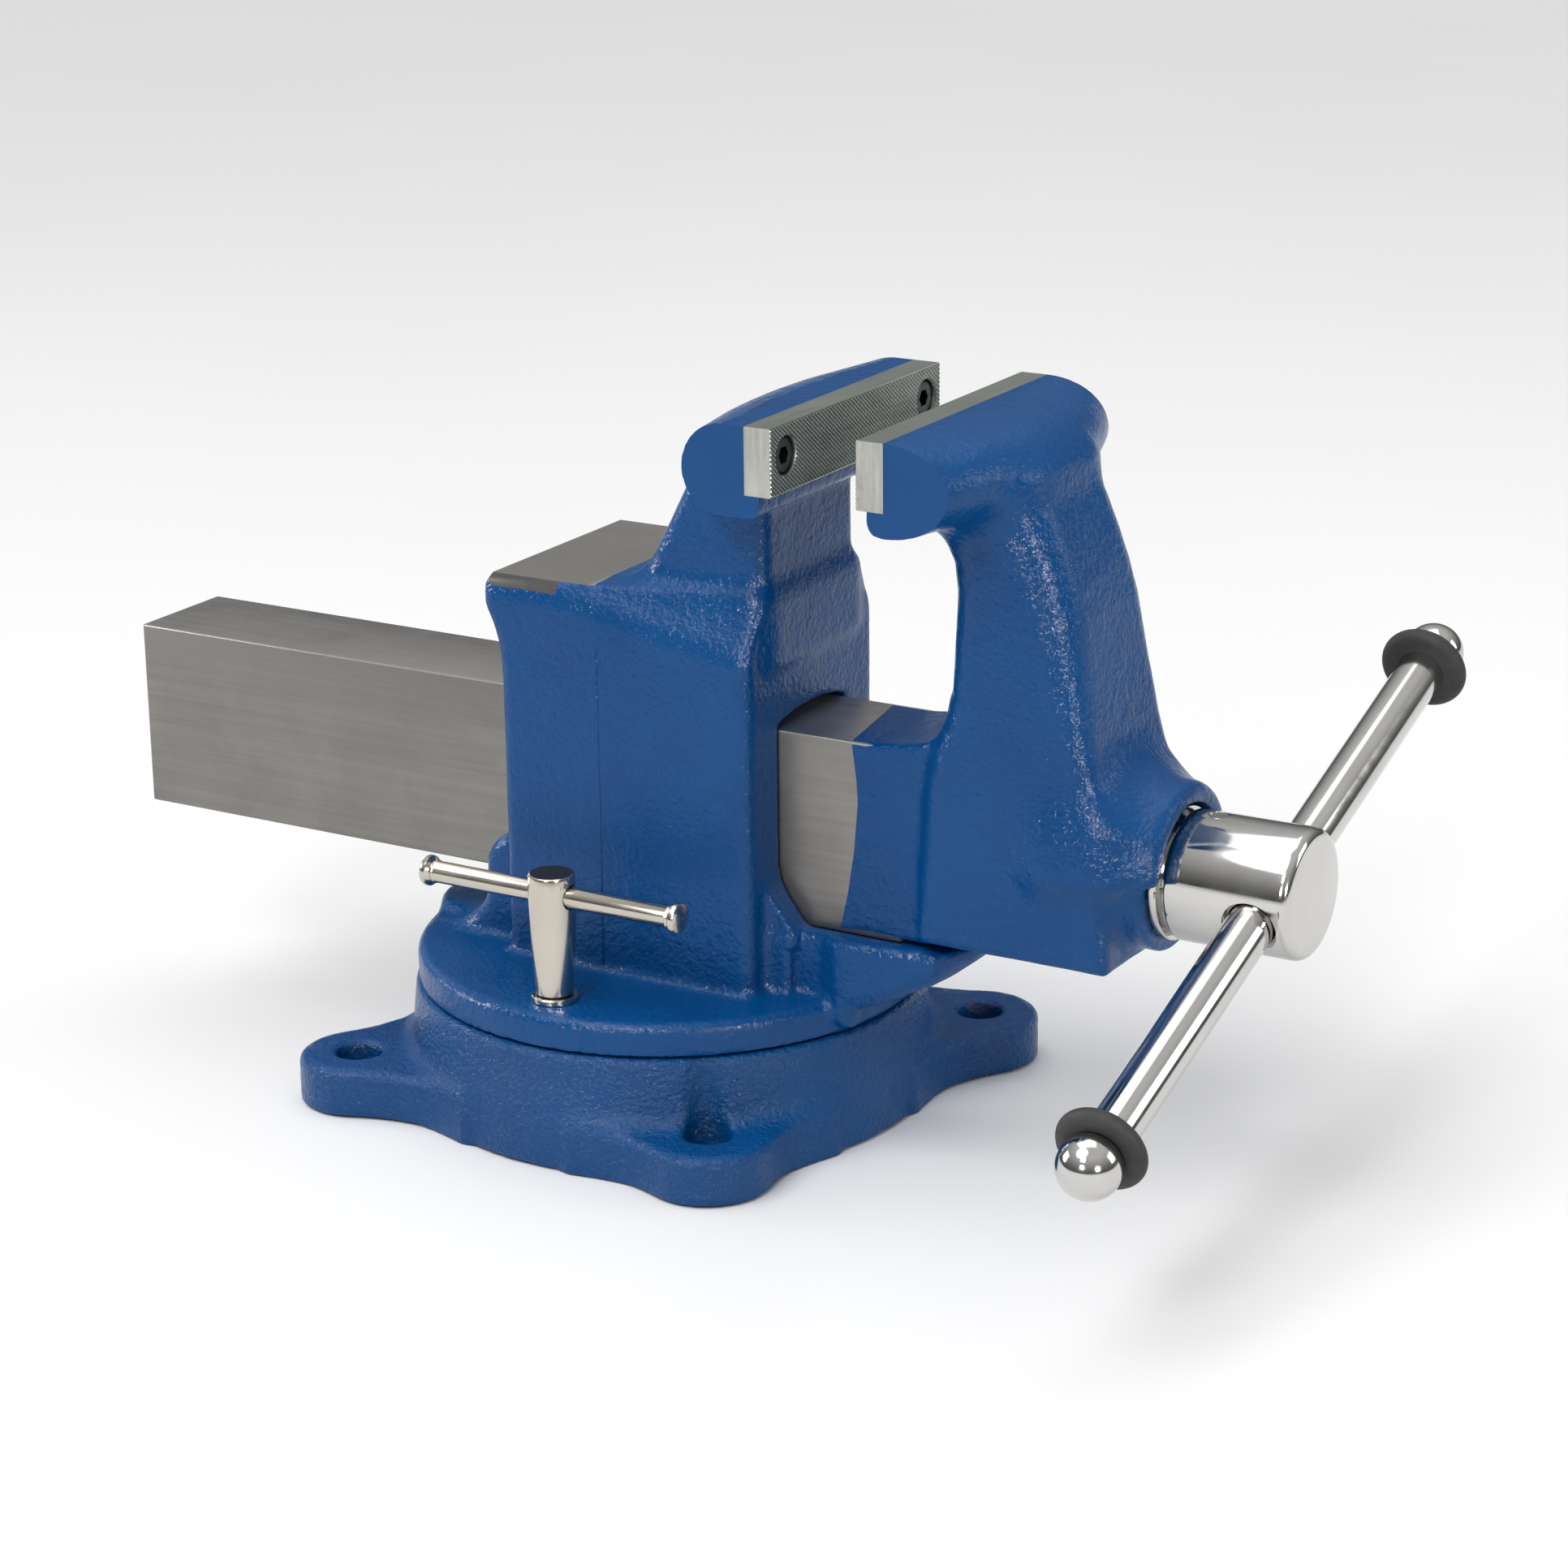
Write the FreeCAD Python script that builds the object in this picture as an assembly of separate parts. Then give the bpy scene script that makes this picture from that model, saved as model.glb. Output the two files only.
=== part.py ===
"""Bench vise with a swivel base, 5 inch jaws. Millimetres, +Z up, +X towards the handle.

Origin: where the swivel axis meets the underside of the base.
"""
import FreeCAD, Part
import math
import os

V = FreeCAD.Vector
X, Y, Z = V(1, 0, 0), V(0, 1, 0), V(0, 0, 1)

# ---- driving dimensions ----
jaw_width = 127.0           # 5 inch jaws
jaw_gap = 34.0              # opening at rest
insert_height = 25.4
insert_thick = 11.5
jaw_top_z = 287.2
static_face_x = 87.0        # gripping face of the fixed insert
screw_z = 123.5             # axis of the main screw

beam_half = 25.0
beam_top_z = 161.7
beam_bottom_z = 85.2
beam_rear_x = -239.3
slide_gap = 0.3             # clearance between the beam and its channel

disc_r = 100.0
disc_bottom_z = 47.0
disc_top_z = 60.5
column_half = 49.0
column_rear_x = -46.0
column_front_x = 66.0
anvil_top_z = 213.2
neck_half = 35.0

base_ring_r = 103.5
base_ring_top_r = 101.0
base_top_z = disc_bottom_z - 0.3
lug_top_z = 19.5
long_lug_r, long_lug_angle = 125.0, 39.0      # bolt holes of the two long lugs
short_lug_r, short_lug_angle = 107.5, -51.0   # bolt holes of the two short lugs
base_hole_r = 8.75
t_slot_r = 83.0             # circle that the clamping T-bolts ride on

screw_r = 12.0
head_r = 24.5
head_x0, head_x1 = 225.0, 274.0
handle_x = 258.7
handle_tilt = 19.2          # degrees that the bar stands above level
bar_r = 9.0
ball_r = 11.7
ball_at = 156.4             # ball centres, from the middle of the bar
bar_shift = -1.8            # how far the bar rests off centre in the head
running = 0.08              # radial clearance of the screw in its bores

# ---- derived dimensions ----
moving_face_x = static_face_x + jaw_gap
static_seat_x = static_face_x - insert_thick
moving_seat_x = moving_face_x + insert_thick
insert_bottom_z = jaw_top_z - insert_height
head_mid_z = jaw_top_z - 17.3
jaw_half = jaw_width / 2


# ---- helpers ----
def box(x0, x1, y0, y1, z0, z1):
    return Part.makeBox(x1 - x0, y1 - y0, z1 - z0, V(x0, y0, z0))


def cylinder(radius, start, axis, length):
    return Part.makeCylinder(radius, length, start, axis)


def tube(outer, inner, start, axis, length):
    return cylinder(outer, start, axis, length).cut(cylinder(inner, start, axis, length))


def outline(points, place):
    """Closed wire. A point is (a, b), or (a, b, mid_a, mid_b) to reach it along an arc."""
    edges = []
    last = points[0][:2]
    for point in list(points[1:]) + [points[0][:2]]:
        end = point[:2]
        if len(point) == 4:
            edges.append(Part.Arc(place(*last), place(*point[2:]), place(*end)).toShape())
        elif place(*last).distanceToPoint(place(*end)) > 1e-6:
            edges.append(Part.LineSegment(place(*last), place(*end)).toShape())
        last = end
    return Part.Wire(edges)


def prism_y(points, half):
    """Side outline in X and Z, made solid between -half and +half in Y."""
    face = Part.Face(outline(points, lambda a, b: V(a, -half, b)))
    return face.extrude(Y * 2 * half)


def prism_x(points, x0, x1):
    """Front outline in Y and Z, made solid between x0 and x1."""
    face = Part.Face(outline(points, lambda a, b: V(x0, a, b)))
    return face.extrude(X * (x1 - x0))


def prism_z(points, z0, z1):
    face = Part.Face(outline(points, lambda a, b: V(a, b, z0)))
    return face.extrude(Z * (z1 - z0))


def revolved(points):
    """Section in radius and Z, turned about the Z axis."""
    face = Part.Face(outline(points, lambda a, b: V(a, 0, b)))
    return face.revolve(V(0, 0, 0), Z, 360)


def rounded_plan(x0, x1, half, radius, z0, z1):
    """Upright block whose four vertical edges are rounded."""
    block = box(x0, x1, -half, half, z0, z1)
    return soften(block, radius, lambda edge: is_along(edge, Z))


def is_along(edge, axis):
    if not isinstance(edge.Curve, Part.Line):
        return False
    return abs(abs(edge.tangentAt(edge.FirstParameter).dot(axis)) - 1) < 1e-6


def soften(shape, radius, wanted):
    """Fillet the wanted edges."""
    return shape.makeFillet(radius, [edge for edge in shape.Edges if wanted(edge)])


def join(first, *others):
    return first.fuse(list(others)).removeSplitter()


def both_sides(shape):
    return [shape, shape.mirror(V(0, 0, 0), Y)]


# ---- swivel base ----
def polar(radius, angle):
    return radius * math.cos(math.radians(angle)), radius * math.sin(math.radians(angle))


def lug_flank(lug_r, tip_r, blend_r):
    """Angle from the lug to the centre of the arc that blends it into the ring."""
    to_blend = base_ring_r + blend_r
    cosine = (to_blend ** 2 + lug_r ** 2 - (tip_r + blend_r) ** 2) / (2 * to_blend * lug_r)
    return math.degrees(math.acos(cosine))


def towards(point, target, distance):
    length = math.dist(point, target)
    return tuple(p + (t - p) * distance / length for p, t in zip(point, target))


def lug_outline(lug_r, angle, tip_r, blend_r):
    """Plan of one lug: ring, blend arc, rounded tip, blend arc, ring."""
    flank = lug_flank(lug_r, tip_r, blend_r)
    tip = polar(lug_r, angle)
    points = []
    for side in (-1, 1):
        blend = polar(base_ring_r + blend_r, angle + side * flank)
        on_ring = towards(blend, (0, 0), blend_r)
        on_tip = towards(blend, tip, blend_r)
        middle = towards(blend, towards(on_ring, on_tip, math.dist(on_ring, on_tip) / 2), blend_r)
        points.append((on_ring, middle, on_tip))
    (ring_a, mid_a, tip_a), (ring_b, mid_b, tip_b) = points
    far = polar(lug_r + tip_r, angle)
    return [(0, 0), ring_a, tip_a + mid_a, tip_b + far, ring_b + mid_b]


def make_swivel_base():
    ring = revolved([(0, 0), (base_ring_r, 0), (base_ring_r, lug_top_z),
                     (base_ring_top_r, base_top_z - 1.5), (base_ring_top_r - 1.5, base_top_z),
                     (0, base_top_z)])
    lugs = []
    for lug_r, angle, tip_r in ((long_lug_r, long_lug_angle, 23.5), (short_lug_r, short_lug_angle, 25.0)):
        for turn in (0, 180):
            lug = prism_z(lug_outline(lug_r, angle + turn, tip_r, 70.0), 0, lug_top_z)
            lugs.append(lug)
    base = join(ring, *lugs)
    underside = revolved([(0, -1), (62, -1), (62, 34), (0, 34)])
    clamp_slot = revolved([(70, -1), (95, -1), (95, 34), (t_slot_r + 6.5, 34),
                           (t_slot_r + 6.5, base_top_z + 1), (t_slot_r - 6.5, base_top_z + 1),
                           (t_slot_r - 6.5, 34), (70, 34)])
    base = base.cut([underside, clamp_slot, cylinder(16.05, V(0, 0, 30), Z, 20)])
    rib = box(40, 97, -4, 4, 0, 16)
    ribs = []
    for angle in (long_lug_angle, short_lug_angle):
        for turn in (0, 180):
            ribs.append(rib.rotated(V(0, 0, 0), Z, angle + turn))
    base = join(base, *ribs)
    holes = []
    for lug_r, angle in ((long_lug_r, long_lug_angle), (short_lug_r, short_lug_angle)):
        for turn in (0, 180):
            hole_x, hole_y = polar(lug_r, angle + turn)
            holes.append(cylinder(base_hole_r, V(hole_x, hole_y, -1), Z, lug_top_z + 2))
    return base.cut(holes)


# ---- fixed jaw body ----
def anvil_block():
    side = [(column_rear_x, disc_top_z - 2), (column_rear_x, 172),
            (-51.9, 201, -47.6, 187), (-51.9, 207.2), (-48.3, anvil_top_z),
            (-4, anvil_top_z), (6, 190), (6, disc_top_z - 2)]
    front = [(-column_half, disc_top_z - 3), (-column_half, 207), (-45, 214), (45, 214),
             (column_half, 207), (column_half, disc_top_z - 3)]
    return prism_y(side, column_half + 1).common(prism_x(front, -60, 60))


def shoulders():
    side = [(-12, 180), (column_front_x, 180), (column_front_x, 197), (-12, anvil_top_z - 1)]
    front = [(-column_half, 175), (-column_half, 191), (-neck_half - 2, 214), (neck_half + 2, 214),
             (column_half, 191), (column_half, 175)]
    wedge = prism_y(side, column_half + 1).common(prism_x(front, -20, 80))
    return wedge


def neck():
    side = [(-14, 200), (-14, anvil_top_z), (8.7, 216.5, -1, 213.8), (22, 237, 15.8, 225.8),
            (34, 262), (60, 270), (72, 258), (column_front_x, 246, 67.3, 251), (column_front_x, 200)]
    block = prism_y(side, neck_half)
    return block


def static_head():
    """Head with a round back, 8 mm deeper in the middle than at its ends."""
    lip = [(75.5, 252.7), (81.8, 257.0, 80.2, 254.0), (81.8, insert_bottom_z - 1.0),
           (80.8, insert_bottom_z)]
    top = [(static_seat_x, insert_bottom_z), (static_seat_x, jaw_top_z)]
    end = prism_y(top + [(66.2, jaw_top_z), (66.2, jaw_top_z - 34.6, 48.9, head_mid_z)] + lip, jaw_half)
    middle = prism_y(top + [(58.2, jaw_top_z), (58.2, jaw_top_z - 34.6, 40.9, head_mid_z)] + lip, jaw_half)
    crown = prism_z([(82, -jaw_half), (82, jaw_half), (48.9, jaw_half), (48.9, -jaw_half, 40.8, 0)],
                    240, 300)
    return end.fuse(middle.common(crown))


def ellipse_points(centre_x, centre_z, half_x, half_z, start, stop, count):
    """Points on an ellipse, clockwise from start to stop degrees past the top."""
    points = []
    for i in range(count + 1):
        turn = math.radians(start + (stop - start) * i / count)
        points.append((centre_x + half_x * math.sin(turn), centre_z + half_z * math.cos(turn)))
    return points


def moving_head():
    """Head with an elliptical front, 14 mm deeper in the middle than at its ends."""
    seat = [(127, insert_bottom_z), (moving_seat_x, insert_bottom_z)]
    lip = [(126, 257, 127.8, 254), (126, insert_bottom_z - 1)]
    end = ellipse_points(moving_seat_x, jaw_top_z - 17.3, 26, 17.3, 0, 180, 18)
    middle = ellipse_points(moving_seat_x, jaw_top_z - 17.3, 40, 17.3, 0, 180, 24)
    crown = prism_z([(120, -jaw_half), (158.5, -jaw_half), (158.5, jaw_half, 172.6, 0),
                     (120, jaw_half)], 240, 300)
    return prism_y(seat + end + lip, jaw_half).fuse(prism_y(seat + middle + lip, jaw_half).common(crown))


def cradle():
    """Nose under the beam in front of the column, and the short wall behind it."""
    nose_plan = [(20, -38), (100, -36), (135, -31), (149.5, 0, 146.5, -20),
                 (135, 31, 146.5, 20), (100, 36), (20, 38)]
    nose_side = [(20, disc_top_z - 2), (100, disc_top_z - 4), (104, 57.5), (146, 80),
                 (150.5, 87), (20, 87)]
    nose = prism_z(nose_plan, 50, 90).common(prism_y(nose_side, 45))
    gusset = prism_y([(60, 80), (60, 113.5), (column_front_x, 113.5), (90, 87), (90, 80)], 36)
    flute = box(77, 88, 34, 45, disc_top_z, 120)
    slant = prism_z([(88, 34), (97, 45), (88, 45)], disc_top_z, 120)
    front = join(nose, gusset).cut(both_sides(flute) + both_sides(slant))
    rear_side = [(column_rear_x + 4, disc_top_z - 2), (column_rear_x + 4, 104),
                 (column_rear_x, 104), (-64.5, 87, -58.5, 99.5), (-64.5, 77),
                 (-88, 56.5, -72, 63), (-88, disc_top_z - 6)]
    rear = prism_y(rear_side, 36)
    tail = cylinder(25, V(-80, 0, 50), Z, 14).fuse(box(-80, -40, -25, 25, 50, 64))
    return [front, rear, tail]


def make_static_body():
    disc = revolved([(0, disc_bottom_z), (disc_r - 1.5, disc_bottom_z), (disc_r, disc_bottom_z + 1.5),
                     (disc_r, disc_top_z - 3.5), (disc_r - 3.5, disc_top_z, disc_r - 1.0, disc_top_z - 1.0),
                     (0, disc_top_z)])
    spigot = cylinder(16, V(0, 0, 34.5), Z, 20)
    column = rounded_plan(0, column_front_x, column_half, 6, disc_top_z - 2, 191)
    column = column.fuse(box(0, 20, -column_half, column_half, disc_top_z - 2, 191))
    body = join(disc, spigot, column, anvil_block(), shoulders(), neck(), static_head(), *cradle())
    channel = box(-110, 160, -beam_half - slide_gap, beam_half + slide_gap,
                  beam_bottom_z - slide_gap, beam_top_z + 1.2)
    cuts = [channel]
    for side in (-1, 1):
        cuts.append(cylinder(6.5, V(0, side * t_slot_r, 40), Z, 30))
        cuts.append(cylinder(4, V(static_seat_x - 20, side * 52.5, 275.5), X, 21))
    cuts.append(cylinder(10, V(nut_bolt_x, 0, 46), Z, 14))
    cuts.append(cylinder(6.2, V(nut_bolt_x, 0, 46), Z, 45))
    return body.cut(cuts)


# ---- moving jaw ----
def make_moving_jaw():
    leg_bottom_z = 89.7
    beam = box(beam_rear_x, 160, -beam_half, beam_half, beam_bottom_z, beam_top_z)
    beam = beam.cut(box(146, 161, -26, 26, beam_bottom_z - 1, leg_bottom_z))
    leg_side = [(133, leg_bottom_z), (133, 150), (140.5, 180, 135.5, 163), (140.5, 226),
                (133.5, 246, 140, 238), (133.5, 262), (160, 272), (172.5, 270),
                (191, 220, 184, 245), (199, 172, 195.5, 196), (206, 152, 201.5, 160.5),
                (213, 149), (213, leg_bottom_z)]
    leg = prism_y(leg_side, 34)
    flare = prism_z([(124, -25), (133.5, -34, 131, -27.5), (160, -34), (160, 34), (133.5, 34),
                     (124, 25, 131, 27.5)], leg_bottom_z, 158)
    arm_top = prism_y([(104, 158), (104, beam_top_z), (127, 164.5), (141, 181, 137, 168.5),
                       (146, 158)], beam_half)
    boss = cylinder(30, V(190, 0, screw_z), X, 29)
    hood = cylinder(34, V(196, 0, screw_z), X, 35.5)
    hood = hood.common(box(190, 240, -40, 40, screw_z + 3.2, 170))
    recess = cylinder(28, V(219, 0, screw_z), X, 20)
    jaw = join(beam, leg, flare, arm_top, moving_head(), boss, hood).cut(recess)
    hollow = prism_x([(-15.5, 80), (-15.5, 135), (-10, 140.5), (10, 140.5), (15.5, 135),
                      (15.5, 80)], beam_rear_x - 1, 190)
    pocket = box(168, 190, -22.5, 22.5, 80, 146.5)
    cuts = [hollow, pocket, cylinder(screw_r + running, V(180, 0, screw_z), X, 60)]
    for side in (-1, 1):
        cuts.append(cylinder(4, V(moving_seat_x - 1, side * 52.5, 275.5), X, 21))
    return jaw.cut(cuts)


# ---- jaw inserts and their screws ----
insert_hole_y = 52.5
insert_hole_z = 275.5


def make_insert(face_x, into):
    """Hardened insert whose gripping face is at face_x; into is +1 or -1, away from the gap."""
    x0, x1 = sorted((face_x, face_x + into * insert_thick))
    insert = box(x0, x1, -jaw_half, jaw_half, insert_bottom_z, jaw_top_z)
    for side in (-1, 1):
        start = V(face_x, side * insert_hole_y, insert_hole_z)
        insert = insert.cut(cylinder(7.2, start, X * into, 8.0))
        insert = insert.cut(cylinder(4.3, start, X * into, insert_thick))
    return insert


def make_insert_screws(face_x, into):
    screws = []
    for side in (-1, 1):
        start = V(face_x + into * 1.5, side * insert_hole_y, insert_hole_z)
        head = cylinder(6.5, start, X * into, 6.5)
        shank = cylinder(3.95, start, X * into, 27.0)
        screws.append(head.fuse(shank).cut(hexagon(3.0, start, X * into, 3.5)))
    return Part.makeCompound(screws)


def hexagon(half_flats, start, axis, depth):
    """Hexagonal socket along X."""
    radius = half_flats / math.cos(math.radians(30))
    corners = [start + V(0, radius * math.cos(math.radians(a)), radius * math.sin(math.radians(a)))
               for a in range(0, 360, 60)]
    return Part.Face(Part.makePolygon(corners + corners[:1])).extrude(axis * depth)


# ---- main screw, its nut and its head ----
nut_bolt_x = -30.0
screw_rear_x = -175.0
collar_x = 174.6


def make_main_nut():
    foot_z = beam_bottom_z - slide_gap
    block = prism_x([(-15.2, foot_z), (-15.2, 134.6), (-11.3, 138.5), (11.3, 138.5),
                     (15.2, 134.6), (15.2, foot_z)], -44, 2)
    bore = cylinder(screw_r + running, V(-50, 0, screw_z), X, 60)
    return block.cut([bore, cylinder(6.2, V(nut_bolt_x, 0, 80), Z, 23)])


def make_nut_bolt():
    head = cylinder(9, V(nut_bolt_x, 0, 52), Z, 8)
    head = head.cut(Part.makeBox(3, 20, 3, V(nut_bolt_x - 1.5, -10, 51)))
    return head.fuse(cylinder(6.1, V(nut_bolt_x, 0, 52), Z, 49))


def make_main_screw():
    body = cylinder(screw_r, V(screw_rear_x, 0, screw_z), X, head_x0 - screw_rear_x)
    body = body.makeChamfer(2.0, [e for e in body.Edges if abs(e.CenterOfMass.x - screw_rear_x) < 1e-6])
    spigot = cylinder(11, V(head_x0 - 1, 0, screw_z), X, 22)
    screw = join(body, spigot)
    return screw.cut([cylinder(4.05, V(236, 0, screw_z - 30), Z, 60),
                      cylinder(3.05, V(collar_x + 5.9, 0, screw_z - 30), Z, 60)])


def make_spindle_head():
    blank = cylinder(head_r, V(head_x0, 0, screw_z), X, head_x1 - head_x0)
    blank = blank.makeFillet(3.5, [e for e in blank.Edges if abs(e.CenterOfMass.x - head_x1) < 1e-6])
    return blank.cut([cylinder(11.03, V(head_x0 - 1, 0, screw_z), X, 22.2),
                      cylinder(4.05, V(236, 0, screw_z - 30), Z, 60),
                      cylinder(bar_r + 0.15, handle_point(-40), handle_axis, 80)])


def make_head_pin():
    return cylinder(4.0, V(236, 0, screw_z - head_r + 0.6), Z, 2 * head_r - 1.2)


def make_thrust_ring():
    ring = tube(26, screw_r + 0.15, V(219.3, 0, screw_z), X, 3.2)
    step = tube(21, screw_r + 0.15, V(222.5, 0, screw_z), X, head_x0 - 222.5)
    return ring.fuse(step)


def make_rear_washer():
    return tube(21, screw_r + 0.15, V(186.8, 0, screw_z), X, 2.9)


def make_retaining_collar():
    collar = tube(21, screw_r + 0.05, V(collar_x, 0, screw_z), X, 11.8)
    return collar.cut(cylinder(3.05, V(collar_x + 5.9, 0, screw_z - 30), Z, 60))


def make_collar_pin():
    return cylinder(3.0, V(collar_x + 5.9, 0, screw_z - 20.5), Z, 41)


# ---- handle ----
handle_axis = V(0, math.cos(math.radians(handle_tilt)), math.sin(math.radians(handle_tilt)))


bar_end = 150.0
bumper_at = 146.5
bumper_thick = 6.2


def handle_point(distance):
    return V(handle_x, 0, screw_z) + handle_axis * distance


def bar_point(distance):
    """Point on the bar, measured from its middle."""
    return handle_point(distance + bar_shift)


def make_handle_bar():
    bar = cylinder(bar_r, bar_point(-bar_end), handle_axis, 2 * bar_end)
    return bar.fuse(cylinder(5, bar_point(-bar_end - 8), handle_axis, 2 * bar_end + 16))


def make_handle_ball(side):
    ball = Part.makeSphere(ball_r, bar_point(side * ball_at))
    inner = cylinder(20, bar_point(side * (bar_end - 30)), handle_axis * side, 30)
    socket = cylinder(5.05, bar_point(side * (bar_end - 1)), handle_axis * side, 9.5)
    return ball.cut([inner, socket])


def make_handle_bumper(side):
    start = bar_point(side * (bumper_at - bumper_thick / 2))
    ring = cylinder(17.0, start, handle_axis * side, bumper_thick)
    ring = ring.makeFillet(2.6, [e for e in ring.Edges if isinstance(e.Curve, Part.Circle)])
    bore = cylinder(bar_r + 0.02, start - handle_axis * side, handle_axis * side, 30)
    return ring.cut([bore, Part.makeSphere(ball_r + 0.02, bar_point(side * ball_at))])


# ---- swivel clamps ----
def make_lock_bolt(side):
    at_y = side * t_slot_r
    head = box(-13, 13, at_y - 10.5, at_y + 10.5, 25.7, 33.7)
    shank = cylinder(6, V(0, at_y, 33), Z, 27)
    thread = cylinder(5, V(0, at_y, 59), Z, 33)
    return join(head, shank, thread)


def make_lock_washer(side):
    return tube(9, 5.5, V(0, side * t_slot_r, disc_top_z), Z, 2.5)


def make_lock_nut(side):
    base = V(0, side * t_slot_r, disc_top_z + 2.8)
    cone = Part.makeCone(7.2, 9.0, 26, base, Z)
    top = cylinder(9.0, base + Z * 26, Z, 22.2)
    nut = join(cone, top)
    return nut.cut([cylinder(5.1, base, Z, 31),
                    cylinder(4.35, V(-20, side * t_slot_r, lock_bar_z), X, 40)])


lock_bar_z = 103.0
lock_bar_half = 57.5


def make_lock_bar(side):
    at = V(-lock_bar_half, side * t_slot_r, lock_bar_z)
    bar = cylinder(4.25, at, X, 2 * lock_bar_half)
    caps = [cylinder(6, at, X, 3), cylinder(6, at + X * (2 * lock_bar_half - 3), X, 3)]
    return join(bar, *caps)


# ---- write one STEP file for each node ----
def main():
    nodes = {
        "swivel_base": make_swivel_base(),
        "static_body": make_static_body(),
        "static_jaw_insert": make_insert(static_face_x, -1),
        "static_jaw_screws": make_insert_screws(static_face_x, -1),
        "moving_jaw": make_moving_jaw(),
        "moving_jaw_insert": make_insert(moving_face_x, 1),
        "moving_jaw_screws": make_insert_screws(moving_face_x, 1),
        "main_nut": make_main_nut(),
        "nut_bolt": make_nut_bolt(),
        "main_screw": make_main_screw(),
        "spindle_head": make_spindle_head(),
        "head_pin": make_head_pin(),
        "thrust_ring": make_thrust_ring(),
        "rear_washer": make_rear_washer(),
        "retaining_collar": make_retaining_collar(),
        "collar_pin": make_collar_pin(),
        "handle_bar": make_handle_bar(),
    }
    for name, side in (("lower", -1), ("upper", 1)):
        nodes["handle_ball_" + name] = make_handle_ball(side)
        nodes["handle_bumper_" + name] = make_handle_bumper(side)
    for name, side in (("near", -1), ("far", 1)):
        nodes["lock_bolt_" + name] = make_lock_bolt(side)
        nodes["lock_washer_" + name] = make_lock_washer(side)
        nodes["lock_nut_" + name] = make_lock_nut(side)
        nodes["lock_bar_" + name] = make_lock_bar(side)
    os.makedirs("parts", exist_ok=True)
    for name, shape in nodes.items():
        if not shape.isValid() or not shape.Solids:
            raise RuntimeError(name + " is not a valid solid")
        print(name, len(shape.Solids), "solid(s),", round(shape.Volume / 1000, 2), "cm3")
        shape.exportStep("parts/" + name + ".step")


main()
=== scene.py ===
import math

import bmesh
import bpy
import numpy as np
from mathutils import Matrix, Vector, noise


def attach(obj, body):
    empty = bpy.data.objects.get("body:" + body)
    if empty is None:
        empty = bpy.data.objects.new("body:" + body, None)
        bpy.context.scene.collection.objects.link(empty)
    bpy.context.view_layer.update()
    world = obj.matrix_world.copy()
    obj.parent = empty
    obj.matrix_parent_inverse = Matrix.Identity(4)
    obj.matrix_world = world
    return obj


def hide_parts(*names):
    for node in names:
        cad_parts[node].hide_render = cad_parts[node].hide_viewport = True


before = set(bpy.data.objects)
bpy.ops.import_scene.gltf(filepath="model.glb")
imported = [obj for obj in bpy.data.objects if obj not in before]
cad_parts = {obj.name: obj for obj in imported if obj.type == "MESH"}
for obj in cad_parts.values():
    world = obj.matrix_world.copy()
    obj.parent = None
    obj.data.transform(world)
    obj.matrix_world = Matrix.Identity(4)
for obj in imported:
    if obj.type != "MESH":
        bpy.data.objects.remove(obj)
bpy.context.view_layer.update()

MM = 0.001

# ---- Dimensions shared with the CAD model, in millimetres ----
SCREW_Z = 123.5
HANDLE_X = 258.7
HANDLE_TILT = math.radians(19.2)
HANDLE_DIR = Vector((0, math.cos(HANDLE_TILT), math.sin(HANDLE_TILT)))
BAR_SHIFT = -1.8
JAW_HALF = 63.5
JAW_TOP = 287.2
SEAT_Z = 261.8
STATIC_SEAT, MOVING_SEAT = 75.5, 132.5
ANVIL_Z = 213.2
BEAM_HALF, BEAM_TOP, BEAM_BOTTOM, BEAM_REAR = 25.0, 161.7, 85.2, -239.3
INSERT_HOLE_Y, INSERT_HOLE_Z = 52.5, 275.5
LOCK_Y, LOCK_BAR_Z = 83.0, 103.0
FLANGE_R, FLANGE_TOP = 100, 60.5
COLUMN_HALF, COLUMN_FRONT, NECK_HALF = 49, 66.0, 35
HEAD_PIN_X, COLLAR_PIN_X = 236, 180.5

# The castings' own: HOOD_FRONT, RECESS_R and LEG_FRONT follow the photo and differ from the CAD model
CHAMFER_Z, CHAMFER_FRONT, CHAMFER_REAR = 207.0, -18, (-48.3, -51.9)
LEG_HALF, LEG_BOTTOM, LEG_FRONT = 34, 89.7, 207
HOOD_R, HOOD_FRONT, RECESS_R, THRUST_X = 34, 225.2, 26.4, 219


# ---- Solid shapes as distance fields, in millimetres and negative inside ----
# Rounded castings are added and cut here, then skinned with quads.
class Grid:
    def __init__(self, low, high, step):
        self.low, self.step = np.array(low, np.float32), step
        axes = [np.arange(a, b, step, dtype=np.float32) for a, b in zip(low, high)]
        self.x, self.y, self.z = np.meshgrid(*axes, indexing="ij", sparse=True)

    def part(self, low, high):
        """The piece of the grid inside a box, and its place in the whole."""
        place = []
        for axis, a, b in zip((self.x, self.y, self.z), low, high):
            values = axis.ravel()
            place.append(slice(int(np.searchsorted(values, a)), int(np.searchsorted(values, b))))
        piece = object.__new__(Grid)
        piece.x, piece.y, piece.z = self.x[place[0]], self.y[:, place[1]], self.z[:, :, place[2]]
        return piece, tuple(place)


def corner(a, b):
    """Distance past two faces at once, zero unless outside one of them."""
    return np.sqrt(np.maximum(a, 0) ** 2 + np.maximum(b, 0) ** 2)


def meet(a, b, r=0.0):
    """Where both shapes are, with edges rounded by r."""
    return np.minimum(np.maximum(a, b), -r) + corner(a + r, b + r)


def weld(a, b, r=0.0):
    """Both shapes together, with a fillet of r between them."""
    return np.maximum(np.minimum(a, b), r) - corner(r - a, r - b)


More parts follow.
